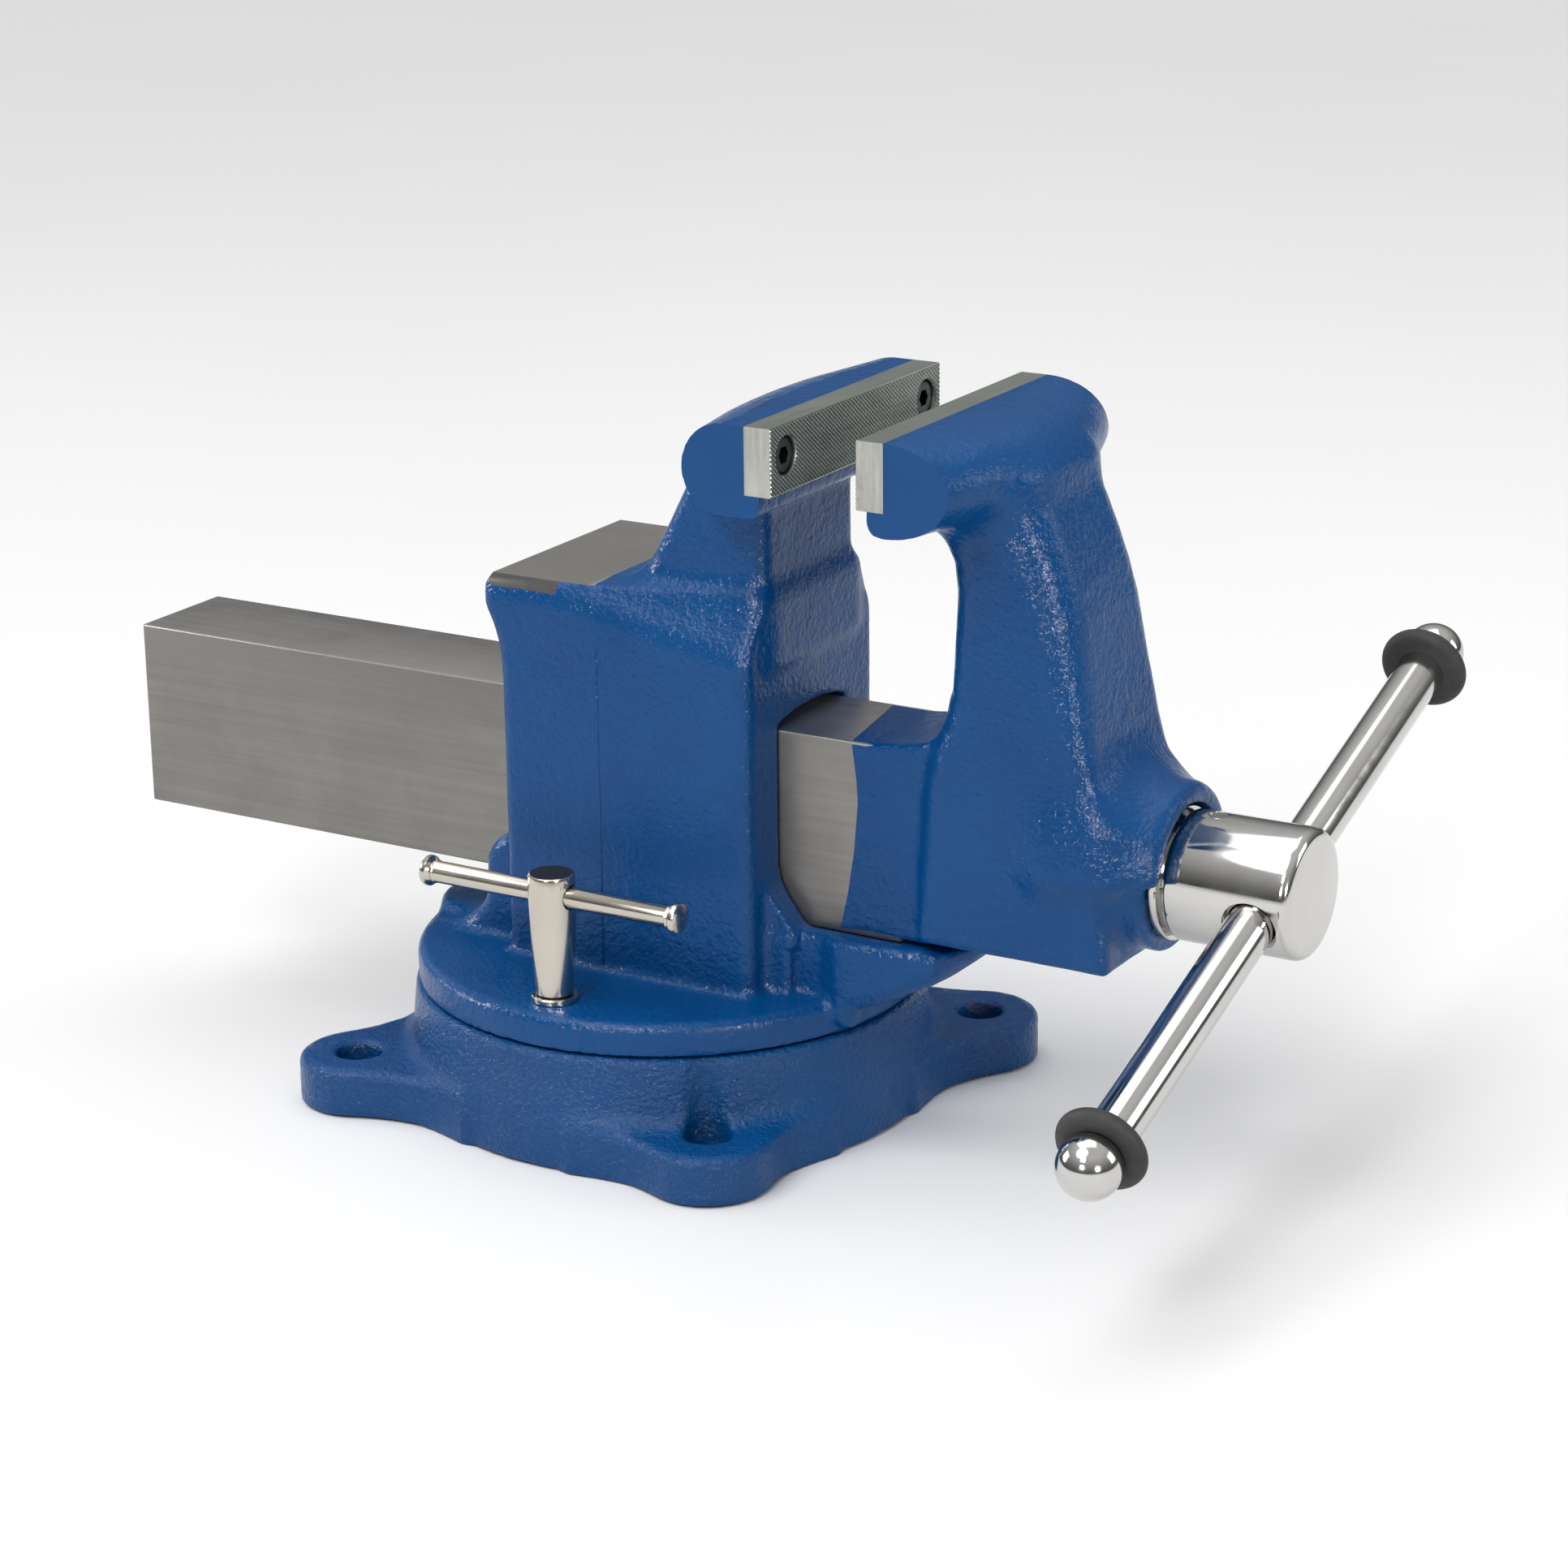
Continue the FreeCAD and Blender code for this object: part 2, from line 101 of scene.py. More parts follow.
def carve(a, b, r=0.0):
    """The first shape with the second taken out, edges rounded by r."""
    return meet(a, -b, r)


def slab(v, low, high):
    return np.abs(v - (low + high) / 2) - (high - low) / 2


def disc(a, b, radius):
    return np.sqrt(a * a + b * b) - radius


def polygon(a, b, points):
    """Distance to a closed outline in the plane of a and b."""
    best, inside = None, None
    for (ax, az), (bx, bz) in zip(points, points[-1:] + points[:-1]):
        ex, ez = bx - ax, bz - az
        wx, wz = a - ax, b - az
        t = np.clip((wx * ex + wz * ez) / max(ex * ex + ez * ez, 1e-9), 0, 1)
        d = (wx - ex * t) ** 2 + (wz - ez * t) ** 2
        above, below, left = b >= az, b < bz, ex * wz > ez * wx
        flip = (above & below & left) | (~above & ~below & ~left)
        best = d if best is None else np.minimum(best, d)
        inside = flip if inside is None else inside ^ flip
    return np.where(inside, -1, 1) * np.sqrt(best)


def smoothstep(v, low, high):
    t = np.clip((v - low) / (high - low), 0, 1)
    return t * t * (3 - 2 * t)


def arc(centre, radius, start, end, count=8):
    """Points along an arc, angles in degrees."""
    angles = [math.radians(start + (end - start) * i / count) for i in range(count + 1)]
    return [(centre[0] + radius * math.cos(t), centre[1] + radius * math.sin(t)) for t in angles]


def both_sides(points):
    """An outline given for one side of the X axis, mirrored to the other side."""
    return points + [(a, -b) for a, b in reversed(points)]


def skin(name, field, grid):
    """Quad mesh of a field's surface: a vertex in each crossed cell, a face round each crossed edge."""
    inside = field < 0
    shape = [n - 1 for n in field.shape]
    corners = [(i, j, k) for i in (0, 1) for j in (0, 1) for k in (0, 1)]

    def shifted(array, offset):
        return array[tuple(slice(o, o + n) for o, n in zip(offset, shape))]

    count = sum(shifted(inside, c).astype(np.int8) for c in corners)
    cells = np.argwhere((count > 0) & (count < 8))
    index = np.full(shape, -1, np.int32)
    index[tuple(cells.T)] = np.arange(len(cells))
    total = np.zeros((len(cells), 3), np.float32)
    hits = np.zeros(len(cells), np.float32)
    for i, first in enumerate(corners):
        for second in corners[i + 1:]:
            if sum(abs(p - q) for p, q in zip(first, second)) != 1:
                continue
            va = field[tuple((cells + first).T)]
            vb = field[tuple((cells + second).T)]
            crossed = (va < 0) != (vb < 0)
            t = np.where(crossed, va / np.where(crossed, va - vb, 1), 0)
            point = np.array(first) + t[:, None] * (np.array(second) - np.array(first))
            total += np.where(crossed[:, None], point, 0)
            hits += crossed
    verts = (grid.low + grid.step * (cells + total / hits[:, None])) * MM
    quads = []
    for axis in range(3):
        u, v = (axis + 1) % 3, (axis + 2) % 3
        before = [slice(None)] * 3
        after = [slice(None)] * 3
        before[axis], after[axis] = slice(None, -1), slice(1, None)
        for a in (u, v):
            before[a] = after[a] = slice(1, -1)
        starts_inside = inside[tuple(before)]
        at = np.argwhere(starts_inside != inside[tuple(after)])
        outward = starts_inside[tuple(at.T)]
        at[:, u] += 1
        at[:, v] += 1
        eu, ev = np.eye(3, dtype=int)[u], np.eye(3, dtype=int)[v]
        ring = [index[tuple(c.T)] for c in (at, at - eu, at - eu - ev, at - ev)]
        quad = np.stack(ring, 1)
        quads.append(np.where(outward[:, None], quad, quad[:, ::-1]))
    mesh = bpy.data.meshes.new(name)
    mesh.from_pydata(verts.tolist(), [], np.concatenate(quads).tolist())
    return add_object(name, mesh)


# ---- Mesh helpers ----
def add_object(name, mesh):
    obj = bpy.data.objects.new(name, mesh)
    bpy.context.scene.collection.objects.link(obj)
    return obj


def closed_object(name, verts, faces):
    """Object made of these faces, with every normal turned outward."""
    mesh = bpy.data.meshes.new(name)
    mesh.from_pydata(verts, [], faces)
    build = bmesh.new()
    build.from_mesh(mesh)
    bmesh.ops.recalc_face_normals(build, faces=build.faces)
    build.to_mesh(mesh)
    build.free()
    return add_object(name, mesh)


def evaluate(obj):
    """Keep what the modifiers make, and drop the modifiers."""
    graph = bpy.context.evaluated_depsgraph_get()
    mesh = bpy.data.meshes.new_from_object(obj.evaluated_get(graph))
    obj.modifiers.clear()
    obj.data = mesh
    return obj


def discard(obj):
    bpy.data.objects.remove(obj)


def cut(obj, tool):
    """Take the tool's volume out of the object, and drop the tool."""
    modifier = obj.modifiers.new("cut", "BOOLEAN")
    modifier.operation, modifier.object, modifier.solver = "DIFFERENCE", tool, "MANIFOLD"
    bpy.context.view_layer.update()
    before = len(obj.data.polygons)
    evaluate(obj)
    if not len(obj.data.polygons):
        raise RuntimeError(f"{obj.name}: the cut left nothing of {before} faces")
    discard(tool)
    return obj


def soften(obj, width, segments=3, angle=30):
    """Round the edges sharper than the angle."""
    modifier = obj.modifiers.new("bevel", "BEVEL")
    modifier.width, modifier.segments = width * MM, segments
    modifier.limit_method, modifier.angle_limit = "ANGLE", math.radians(angle)
    modifier.harden_normals = False
    return evaluate(obj)


def shade(obj, angle=30):
    """Smooth shading, with edges beyond the angle kept sharp."""
    mesh = obj.data
    mesh.shade_smooth()
    mesh.set_sharp_from_angle(angle=math.radians(angle))
    return obj


def extrude(name, points, plane, low, high):
    """Prism with an outline in plane "xz", "xy" or "yz" between low and high on the third axis."""
    axes = {"xz": (0, 2, 1), "xy": (0, 1, 2), "yz": (1, 2, 0)}[plane]

    def place(point, third):
        p = [0, 0, 0]
        p[axes[0]], p[axes[1]], p[axes[2]] = point[0] * MM, point[1] * MM, third * MM
        return p

    count = len(points)
    verts = [place(p, low) for p in points] + [place(p, high) for p in points]
    faces = [list(range(count))[::-1], list(range(count, 2 * count))]
    faces += [[i, (i + 1) % count, (i + 1) % count + count, i + count] for i in range(count)]
    return closed_object(name, verts, faces)


def block(name, low, high):
    return extrude(name, [(low[0], low[1]), (high[0], low[1]), (high[0], high[1]), (low[0], high[1])],
                   "xy", low[2], high[2])


def lathe(name, profile, origin=(0, 0, 0), axis=(0, 0, 1), segments=96):
    """Turned solid: profile is (radius, distance along the axis), from one end to the other."""
    turn = Vector((0, 0, 1)).rotation_difference(Vector(axis)).to_matrix()
    origin = Vector(origin)
    verts, rings = [], []
    for radius, along in profile:
        if radius < 1e-6:
            rings.append([len(verts)])
            verts.append((origin + turn @ Vector((0, 0, along))) * MM)
            continue
        rings.append(list(range(len(verts), len(verts) + segments)))
        for i in range(segments):
            t = 2 * math.pi * i / segments
            local = Vector((radius * math.cos(t), radius * math.sin(t), along))
            verts.append((origin + turn @ local) * MM)
    faces = []
    for a, b in zip(rings, rings[1:] + (rings[:1] if profile[0][0] > 1e-6 else [])):
        for i in range(segments):
            j = (i + 1) % segments
            if len(a) == 1 and len(b) > 1:
                faces.append((a[0], b[j], b[i]))
            elif len(b) == 1 and len(a) > 1:
                faces.append((a[i], a[j], b[0]))
            elif len(a) > 1:
                faces.append((a[i], a[j], b[j], b[i]))
    return closed_object(name, verts, faces)


def rod(name, radius, origin, axis, low, high, segments=64):
    return lathe(name, [(0, low), (radius, low), (radius, high), (0, high)], origin, axis, segments)


def roughen(obj, coarse=0.16, fine=0.05):
    """Sand-cast unevenness: a slow swell and a finer ripple, along the normals."""
    mesh = obj.data
    count = len(mesh.vertices)
    points, normals = np.empty(count * 3), np.empty(count * 3)
    mesh.vertices.foreach_get("co", points)
    mesh.vertices.foreach_get("normal", normals)
    swell = np.empty((count, 1))
    for i, p in enumerate((points.reshape(-1, 3) / MM).tolist()):
        p = Vector(p)
        swell[i] = noise.noise(p / 17.0) * coarse + noise.noise(p / 5.0 + Vector((9, 4, 1))) * fine
    moved = points.reshape(-1, 3) + normals.reshape(-1, 3) * swell * MM
    mesh.vertices.foreach_set("co", moved.ravel())
    mesh.update()
    return obj


def finish_piece(obj, body, slot, *materials, replaces=()):
    """Give a piece its materials and its body, and hide the nodes it stands in for; the slot is not used."""
    mesh = obj.data
    chosen = np.zeros(len(mesh.polygons), dtype=np.int32)
    mesh.polygons.foreach_get("material_index", chosen)
    mesh.materials.clear()
    for material in materials:
        mesh.materials.append(material)
    mesh.polygons.foreach_set("material_index", np.minimum(chosen, len(materials) - 1))
    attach(obj, body)
    if replaces:
        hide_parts(*replaces)
    return obj


def mark_faces(obj, index, wanted):
    """Give a material index to the faces that wanted(centre in mm, normal) picks."""
    for face in obj.data.polygons:
        if wanted(face.center / MM, face.normal):
            face.material_index = index
    return obj


# ---- Materials ----
def shader_material(name, **settings):
    material = bpy.data.materials.new(name)
    material.use_nodes = True
    shader = material.node_tree.nodes["Principled BSDF"]
    for key, value in settings.items():
        shader.inputs[key.replace("_", " ")].default_value = value
    return material, material.node_tree, shader


def add_node(tree, kind, inputs=None, **settings):
    node = tree.nodes.new(kind)
    for key, value in settings.items():
        setattr(node, key, value)
    for key, value in (inputs or {}).items():
        if isinstance(value, bpy.types.NodeSocket):
            tree.links.new(value, node.inputs[key])
        else:
            node.inputs[key].default_value = value
    return node


def coordinates(tree, scale=(1, 1, 1), rotation=(0, 0, 0)):
    source = add_node(tree, "ShaderNodeTexCoord").outputs["Object"]
    mapping = {"Vector": source, "Scale": scale, "Rotation": rotation}
    return add_node(tree, "ShaderNodeMapping", mapping).outputs[0]


def noise_value(tree, vector, scale, detail=3.0, roughness=0.5, distortion=0.0):
    return add_node(tree, "ShaderNodeTexNoise", {"Vector": vector, "Scale": scale, "Detail": detail,
                    "Roughness": roughness, "Distortion": distortion}).outputs["Fac"]


def ramp(tree, value, stops):
    """Colour ramp from (position, colour) stops; a number stands for a grey."""
    node = add_node(tree, "ShaderNodeValToRGB", {"Fac": value})
    elements = node.color_ramp.elements
    while len(elements) < len(stops):
        elements.new(0.5)
    for element, (position, colour) in zip(elements, stops):
        element.position = position
        element.color = (*colour, 1) if isinstance(colour, tuple) else (colour,) * 3 + (1,)
    return node.outputs["Color"]


def bump(tree, shader, height, strength, distance, normal=None):
    inputs = {"Height": height, "Strength": strength, "Distance": distance * MM}
    if normal is not None:
        inputs["Normal"] = normal
    node = add_node(tree, "ShaderNodeBump", inputs)
    tree.links.new(node.outputs["Normal"], shader.inputs["Normal"])
    return node.outputs["Normal"]


def blue_paint(name, grain=0.35, swell=0.55):
    """Thick glossy enamel over a sand casting: orange peel, cast grain and slow colour drift."""
    material, tree, shader = shader_material(name, Metallic=0.0, Coat_Weight=0.5, Coat_Roughness=0.05,
                                             Specular_IOR_Level=0.03)
    at = coordinates(tree)
    drift = noise_value(tree, at, 14, 4, 0.6)
    tree.links.new(ramp(tree, drift, [(0.3, (0.0001, 0.056, 0.205)), (0.7, (0.0002, 0.073, 0.250))]),
                   shader.inputs["Base Color"])
    tree.links.new(ramp(tree, noise_value(tree, at, 60, 3), [(0.3, 0.30), (0.75, 0.44)]),
                   shader.inputs["Roughness"])
    peel = noise_value(tree, at, 210, 2, 0.5)
    cast = noise_value(tree, at, 500, 3, 0.6, 0.3)
    first = bump(tree, shader, peel, swell, 0.9)
    second = bump(tree, shader, cast, grain, 1.3, first)
    tree.links.new(second, shader.inputs["Coat Normal"])
    return material


def steel(name, light, dark, roughness, streak_scale, strength=0.12, rotation=(0, 0, 0)):
    """Machined steel: fine streaks along one direction, patchy tone and roughness."""
    material, tree, shader = shader_material(name, Metallic=1.0)
    lines = noise_value(tree, coordinates(tree, streak_scale, rotation), 1.0, 5, 0.65)
    patches = noise_value(tree, coordinates(tree), 28, 4, 0.6, 0.6)
    tone = add_node(tree, "ShaderNodeMath", {0: lines, 1: patches}, operation="ADD").outputs[0]
    half = add_node(tree, "ShaderNodeMath", {0: tone, 1: 0.5}, operation="MULTIPLY").outputs[0]
    tree.links.new(ramp(tree, half, [(0.36, dark), (0.62, light)]), shader.inputs["Base Color"])
    tree.links.new(ramp(tree, half, [(0.35, roughness + 0.09), (0.65, roughness - 0.05)]),
                   shader.inputs["Roughness"])
    bump(tree, shader, lines, strength, 0.08)
    return material


def polished(name, colour, roughness, smudge):
    """Plated metal: mirror bright, with faint wipe marks and pits."""
    material, tree, shader = shader_material(name, Metallic=1.0)
    wipes = noise_value(tree, coordinates(tree, (40, 40, 40)), 1.0, 5, 0.6, 1.2)
    tree.links.new(ramp(tree, wipes, [(0.35, roughness), (0.72, roughness + smudge)]),
                   shader.inputs["Roughness"])
    shade_of = tuple(c * 0.9 for c in colour)
    tree.links.new(ramp(tree, noise_value(tree, coordinates(tree), 35, 4), [(0.3, shade_of), (0.7, colour)]),
                   shader.inputs["Base Color"])
    bump(tree, shader, noise_value(tree, coordinates(tree), 180, 3), 0.03, 0.05)
    return material


def rubber_material(name):
    material, tree, shader = shader_material(name, Metallic=0.0, Specular_IOR_Level=0.35)
    at = coordinates(tree)
    tree.links.new(ramp(tree, noise_value(tree, at, 90, 4, 0.6), [(0.3, 0.030), (0.75, 0.052)]),
                   shader.inputs["Base Color"])
    tree.links.new(ramp(tree, noise_value(tree, at, 300, 3), [(0.3, 0.55), (0.7, 0.72)]),
                   shader.inputs["Roughness"])
    bump(tree, shader, noise_value(tree, at, 900, 3, 0.6), 0.25, 0.2)
    return material


def floor_material(name):
    material, tree, shader = shader_material(name, Roughness=0.9, Specular_IOR_Level=0.1)
    tone = noise_value(tree, coordinates(tree), 2, 2)
    tree.links.new(ramp(tree, tone, [(0.3, 0.86), (0.7, 0.88)]), shader.inputs["Base Color"])
    return material


PAINT = blue_paint("blue_paint", 0.42)
BASE_PAINT = blue_paint("blue_paint_coarse", 1.0)
FLAT_PAINT = blue_paint("blue_paint_flat", 0.06, 0.06)
# The beam's top and sides are one ground steel: the top copy is lighter as painted light, the side copy
# darker as painted shade
BEAM_SIDE_SHADED_STEEL = steel("beam_side_painted_shade_steel", (0.25, 0.24, 0.226), (0.20, 0.192, 0.18), 0.36, (8, 420, 420), 0.03)
BEAM_TOP_LIT_STEEL = steel("beam_top_painted_light_steel", (0.50, 0.49, 0.47), (0.40, 0.39, 0.375), 0.36, (8, 420, 420), 0.03)
ANVIL_STEEL = steel("anvil_steel", (0.50, 0.48, 0.44), (0.37, 0.355, 0.33), 0.36, (14, 700, 300), 0.18)
# Near black steel: painted shade on the anvil chamfers and in the gap under the disc, and a painted dark
# reflection on the nut tops
PAINTED_SHADE_STEEL = steel("painted_shade_steel", (0.085, 0.082, 0.080), (0.055, 0.053, 0.052), 0.45, (10, 500, 500))
ZINC = steel("zinc_plate", (0.50, 0.54, 0.49), (0.38, 0.42, 0.38), 0.33, (260, 22, 260), 0.1)
# Darker zinc for the bottoms of the knurl grooves: painted shade
GROOVE_SHADE_ZINC = steel("zinc_painted_groove_shade", (0.20, 0.22, 0.20), (0.12, 0.135, 0.12), 0.45, (260, 22, 260), 0.1)
SAWN = steel("sawn_end", (0.52, 0.52, 0.48), (0.27, 0.27, 0.25), 0.38, (420, 60, 36), 0.6,
             rotation=(0, 0.35, 0))
TURNED = steel("turned_steel", (0.50, 0.49, 0.47), (0.36, 0.35, 0.34), 0.3, (500, 60, 60))
BLACK_OXIDE = steel("black_oxide", (0.07, 0.07, 0.075), (0.035, 0.035, 0.04), 0.38, (200, 200, 200))
BRONZE = steel("bronze", (0.56, 0.40, 0.20), (0.40, 0.27, 0.12), 0.35, (200, 60, 200))
CHROME = polished("chrome", (0.62, 0.61, 0.59), 0.06, 0.10)
NICKEL = polished("nickel", (0.60, 0.56, 0.49), 0.12, 0.12)
RUBBER = rubber_material("rubber")
FLOOR = floor_material("studio_floor")


# ---- Swivel base ----
RING_R, LUG_TOP, BASE_TOP = 103.5, 19.5, 46.7
LUGS = [(125.0, 39.0, 23.5), (107.5, -51.0, 25.0), (125.0, 219.0, 23.5), (107.5, 129.0, 25.0)]


def lug_plan(radius, angle, tip, blend=70.0):
    """Outline of one lug with the arcs that sweep it into the ring."""
    reach = RING_R + blend
    flank = math.acos((reach ** 2 + radius ** 2 - (tip + blend) ** 2) / (2 * reach * radius))
    centre = Vector((radius * math.cos(math.radians(angle)), radius * math.sin(math.radians(angle))))
    sides = []
    for side in (-1, 1):
        turn = math.radians(angle) + side * flank
        middle = Vector((reach * math.cos(turn), reach * math.sin(turn)))
        start = math.atan2(-middle.y, -middle.x)
        to_tip = centre - middle
        sweep = (math.atan2(to_tip.y, to_tip.x) - start + math.pi) % (2 * math.pi) - math.pi
        sides.append([(middle.x + blend * math.cos(start + sweep * i / 10),
                       middle.y + blend * math.sin(start + sweep * i / 10)) for i in range(11)])
    lead, back = sides
    first = math.atan2(lead[-1][1] - centre.y, lead[-1][0] - centre.x)
    last = math.atan2(back[-1][1] - centre.y, back[-1][0] - centre.x)
    last += 2 * math.pi if last < first else 0
    nose = [(centre.x + tip * math.cos(first + (last - first) * i / 16),
             centre.y + tip * math.sin(first + (last - first) * i / 16)) for i in range(1, 16)]
    return [(0.0, 0.0)] + lead + nose + back[::-1]


def make_base():
    """Ring with four lugs, an undercut circular slot, and a hollow underside with ribs."""
    g = Grid((-124.5, -113, -2.6), (125, 113.5, 50), 1.3)
    radius = np.sqrt(g.x ** 2 + g.y ** 2)
    wall = RING_R - 2.5 * np.clip((g.z - LUG_TOP) / (BASE_TOP - LUG_TOP), 0, 1)
    body = meet(meet(radius - wall, g.z - BASE_TOP, 2.0), -g.z, 0.8)
    plan = None
    for lug in LUGS:
        shape = polygon(g.x, g.y, lug_plan(*lug))
        plan = shape if plan is None else np.minimum(plan, shape)
    lugs = meet(meet(plan, g.z - LUG_TOP, 3.5), -g.z, 1.0)
    body = weld(body, lugs, 7.0)
    slot = [(70, -9), (95, -9), (95, 34), (89.5, 34), (89.5, 60), (76.5, 60), (76.5, 34), (70, 34)]
    body = carve(body, polygon(radius, g.z, slot), 0.6)
    underside = meet(radius - 62, g.z - 34, 3.0)
    body = carve(body, underside, 0.8)
    for _, angle, _ in LUGS:
        along = g.x * math.cos(math.radians(angle)) + g.y * math.sin(math.radians(angle))
        across = g.y * math.cos(math.radians(angle)) - g.x * math.sin(math.radians(angle))
        rib = meet(meet(slab(along, 40, 97), slab(across, -4, 4), 1.0), slab(g.z, 0, 16), 1.5)
        body = weld(body, rib, 2.0)
    for hole_r, angle, _ in LUGS:
        x, y = hole_r * math.cos(math.radians(angle)), hole_r * math.sin(math.radians(angle))
        bolt_hole = disc(g.x - x, g.y - y, 8.75)
        body = carve(body, bolt_hole + 0 * g.z, 2.4)
    spigot_bore = radius - 16.05
    body = carve(body, spigot_bore + 0 * g.z, 0.8)
    base = roughen(skin("swivel_base_casting", body, g), 0.15, 0.1)
    cut(base, block("foot", (-140, -130, -20), (140, 130, 0)))
    cut(base, lathe("ring_land", [(0, BASE_TOP), (120, BASE_TOP), (120, 70), (0, 70)]))
    # The top land under the disc takes the near black steel: painted shade in the gap between disc and base
    mark_faces(base, 1, lambda p, n: n.z > 0.99 and p.z > BASE_TOP - 0.02 and p.xy.length < 99)
    return finish_piece(shade(base, 40), "base", "blue_paint", BASE_PAINT, PAINTED_SHADE_STEEL,
                        replaces=["swivel_base"])


# ---- Fixed jaw body ----
def make_static_body():
    """Flange, column, neck and head, cradle, rear bracket and tail, with the beam channel cut through."""
    g = Grid((-108, -102.5, 44), (154, 103, 291), 1.5)
    ay = np.abs(g.y)
    radius = np.sqrt(g.x ** 2 + g.y ** 2)
    flange = meet(meet(radius - FLANGE_R, g.z - FLANGE_TOP, 3.5), 47 - g.z, 1.2)

    # Column: sides drafted from the parting line at x = 0, flaring out under the anvil
    flare = smoothstep(g.z, 182, 203)
    draft = np.where(g.x < 0, 0.036 * -g.x * (1 - flare), 0.011 * g.x)
    slope = 1.55 + 0.2 * np.clip((g.x - CHAMFER_FRONT) / 84, 0, 1)
    shoulder = 207.2 - 0.2 * np.maximum(g.x - CHAMFER_FRONT, 0) + (COLUMN_HALF - ay) * slope
    rear = [(-46.0, 52), (-46.0, 170), (-46.4, 178), (-47.4, 186), (-49.2, 194), (-51.9, 200.7),
            (-51.9, 230), (COLUMN_FRONT, 230), (COLUMN_FRONT, 52)]
    sides = meet(polygon(g.x, g.z, rear), ay - COLUMN_HALF + draft, 5.0)
    top = np.maximum(g.z - ANVIL_Z - 0.6, (g.z - shoulder) / np.sqrt(1 + slope ** 2) - 0.3)
    column = meet(sides, top, 2.5)

    # Neck, leaning back over the anvil, and the crowned head above it
    neck_side = [(-20, 190), (-20, 205), (4, 210), (8.7, 216.4), (14.3, 223.4), (21.8, 236.9),
                 (30.4, 253.5), (38, 268), (60, 268), (66, 262), (66, 190)]
    neck = meet(polygon(g.x, g.z, neck_side), ay - NECK_HALF, 6.5)
    upper = weld(column, neck, 9.0)
    h, place = g.part((25, -70, 236), (95, 70, 291))
    crown = 8.0 * (1 - (h.y / JAW_HALF) ** 2) * np.clip((STATIC_SEAT - h.x) / 26.6, 0, 1)
    head_side = [(96, JAW_TOP + 0.8), (66.2, JAW_TOP + 0.1)] + arc((66.2, 269.95), 17.3, 90, 270, 14)
    head_side += [(75.0, 252.7), (79.5, 253.6), (81.4, 255.6), (81.8, 258.4), (81.8, 262.6), (96, 262.6)]
    head = meet(polygon(h.x + crown, h.z, head_side), np.abs(h.y) - JAW_HALF - 1.5, 0.0)
    upper[place] = weld(upper[place], head, 8.0)

    # Cradle under the beam, with its flute and its braces, then the bracket and the tail at the rear
    plan = [(20, -38), (76, -37.6), (77.2, -33.2), (87.5, -32.6), (96.5, -36.8), (103, -36.2),
            (135, -31)] + arc((127.5, 0), 22.3, -48, 0, 6)
    cradle_plan = polygon(g.x, g.y, both_sides(plan))
    cradle_side = [(20, 50), (101, 50), (103.5, 58), (112, 61.2), (122, 66), (136, 73), (145, 80),
                   (150.2, 85), (150.2, 88), (20, 88)]
    cradle = meet(meet(cradle_plan, g.z - 87.2, 1.6), polygon(g.x, g.z, cradle_side), 6.0)
    brace_side = [(55, 75), (55, 107), (64.2, 104.2), (66.2, 101.6), (76.6, 88), (78.6, 85.5), (79, 80)]
    brace = meet(polygon(g.x, g.z, brace_side), ay - 36.6, 1.2)
    cradle = weld(cradle, brace, 2.0)
    bracket_side = [(-20, 50), (-20, 104), (-48, 104)] + arc((-48.5, 88), 16, 90, 180, 6)
    bracket_side += [(-64.5, 78), (-66.5, 73), (-70.5, 68.5), (-77, 64.3), (-84.5, 60.4), (-90, 55)]
    bracket = meet(polygon(g.x, g.z, bracket_side), ay - 36, 5.0)
    tail = weld(disc(g.x + 80, g.y, 25), meet(slab(g.x, -80, -30), ay - 25, 0), 0)
    tail = meet(meet(tail, g.z - 64, 3.0), 50.5 - g.z, 3.0)
    lower = weld(weld(flange, bracket, 5.0), tail, 4.0)
    lower = weld(lower, cradle, 4.0)
    body = weld(lower, upper, 4.0)

    channel_top = 163.0 + 3.2 * (1 - (g.y / 25.3) ** 2)
    channel = meet(ay - 25.35, np.maximum(g.z - channel_top, 84.9 - g.z), 0.0)
    body = carve(body, channel + 0 * g.x, 1.0)
    for side in (-1, 1):
        body = carve(body, disc(g.x, g.y - side * LOCK_Y, 6.5) + 0 * g.z, 0.6)
    casting = roughen(skin("static_body_casting", body, g))

    # Machined faces: anvil and its chamfers, insert seat, head ends and top
    cut(casting, block("anvil_cut", (-80, -60, ANVIL_Z), (-3, 60, 240)))
    inner, outer = CHAMFER_REAR
    edge = [(inner, ANVIL_Z), (outer, CHAMFER_Z), (-70, CHAMFER_Z), (-70, 230), (inner, 230)]
    cut(casting, extrude("rear_chamfer", edge, "xz", -70, 70))
    for side in (-1, 1):
        edge = [(45, ANVIL_Z), (COLUMN_HALF, CHAMFER_Z), (70, CHAMFER_Z), (70, 230), (45, 230)]
        edge = [(side * y, z) for y, z in edge]
        cut(casting, extrude("side_chamfer", edge, "yz", -70, CHAMFER_FRONT))
        low, high = sorted((side * JAW_HALF, side * 90))
        cut(casting, block("head_end", (10, low, 235), (100, high, 300)))
    cut(casting, block("seat", (STATIC_SEAT, -90, SEAT_Z), (100, 90, 300)))
    cut(casting, block("head_top", (10, -90, JAW_TOP), (100, 90, 300)))
    mark_faces(casting, 1, lambda p, n: n.z > 0.995 and abs(p.z - ANVIL_Z) < 0.05 and p.x < -2)
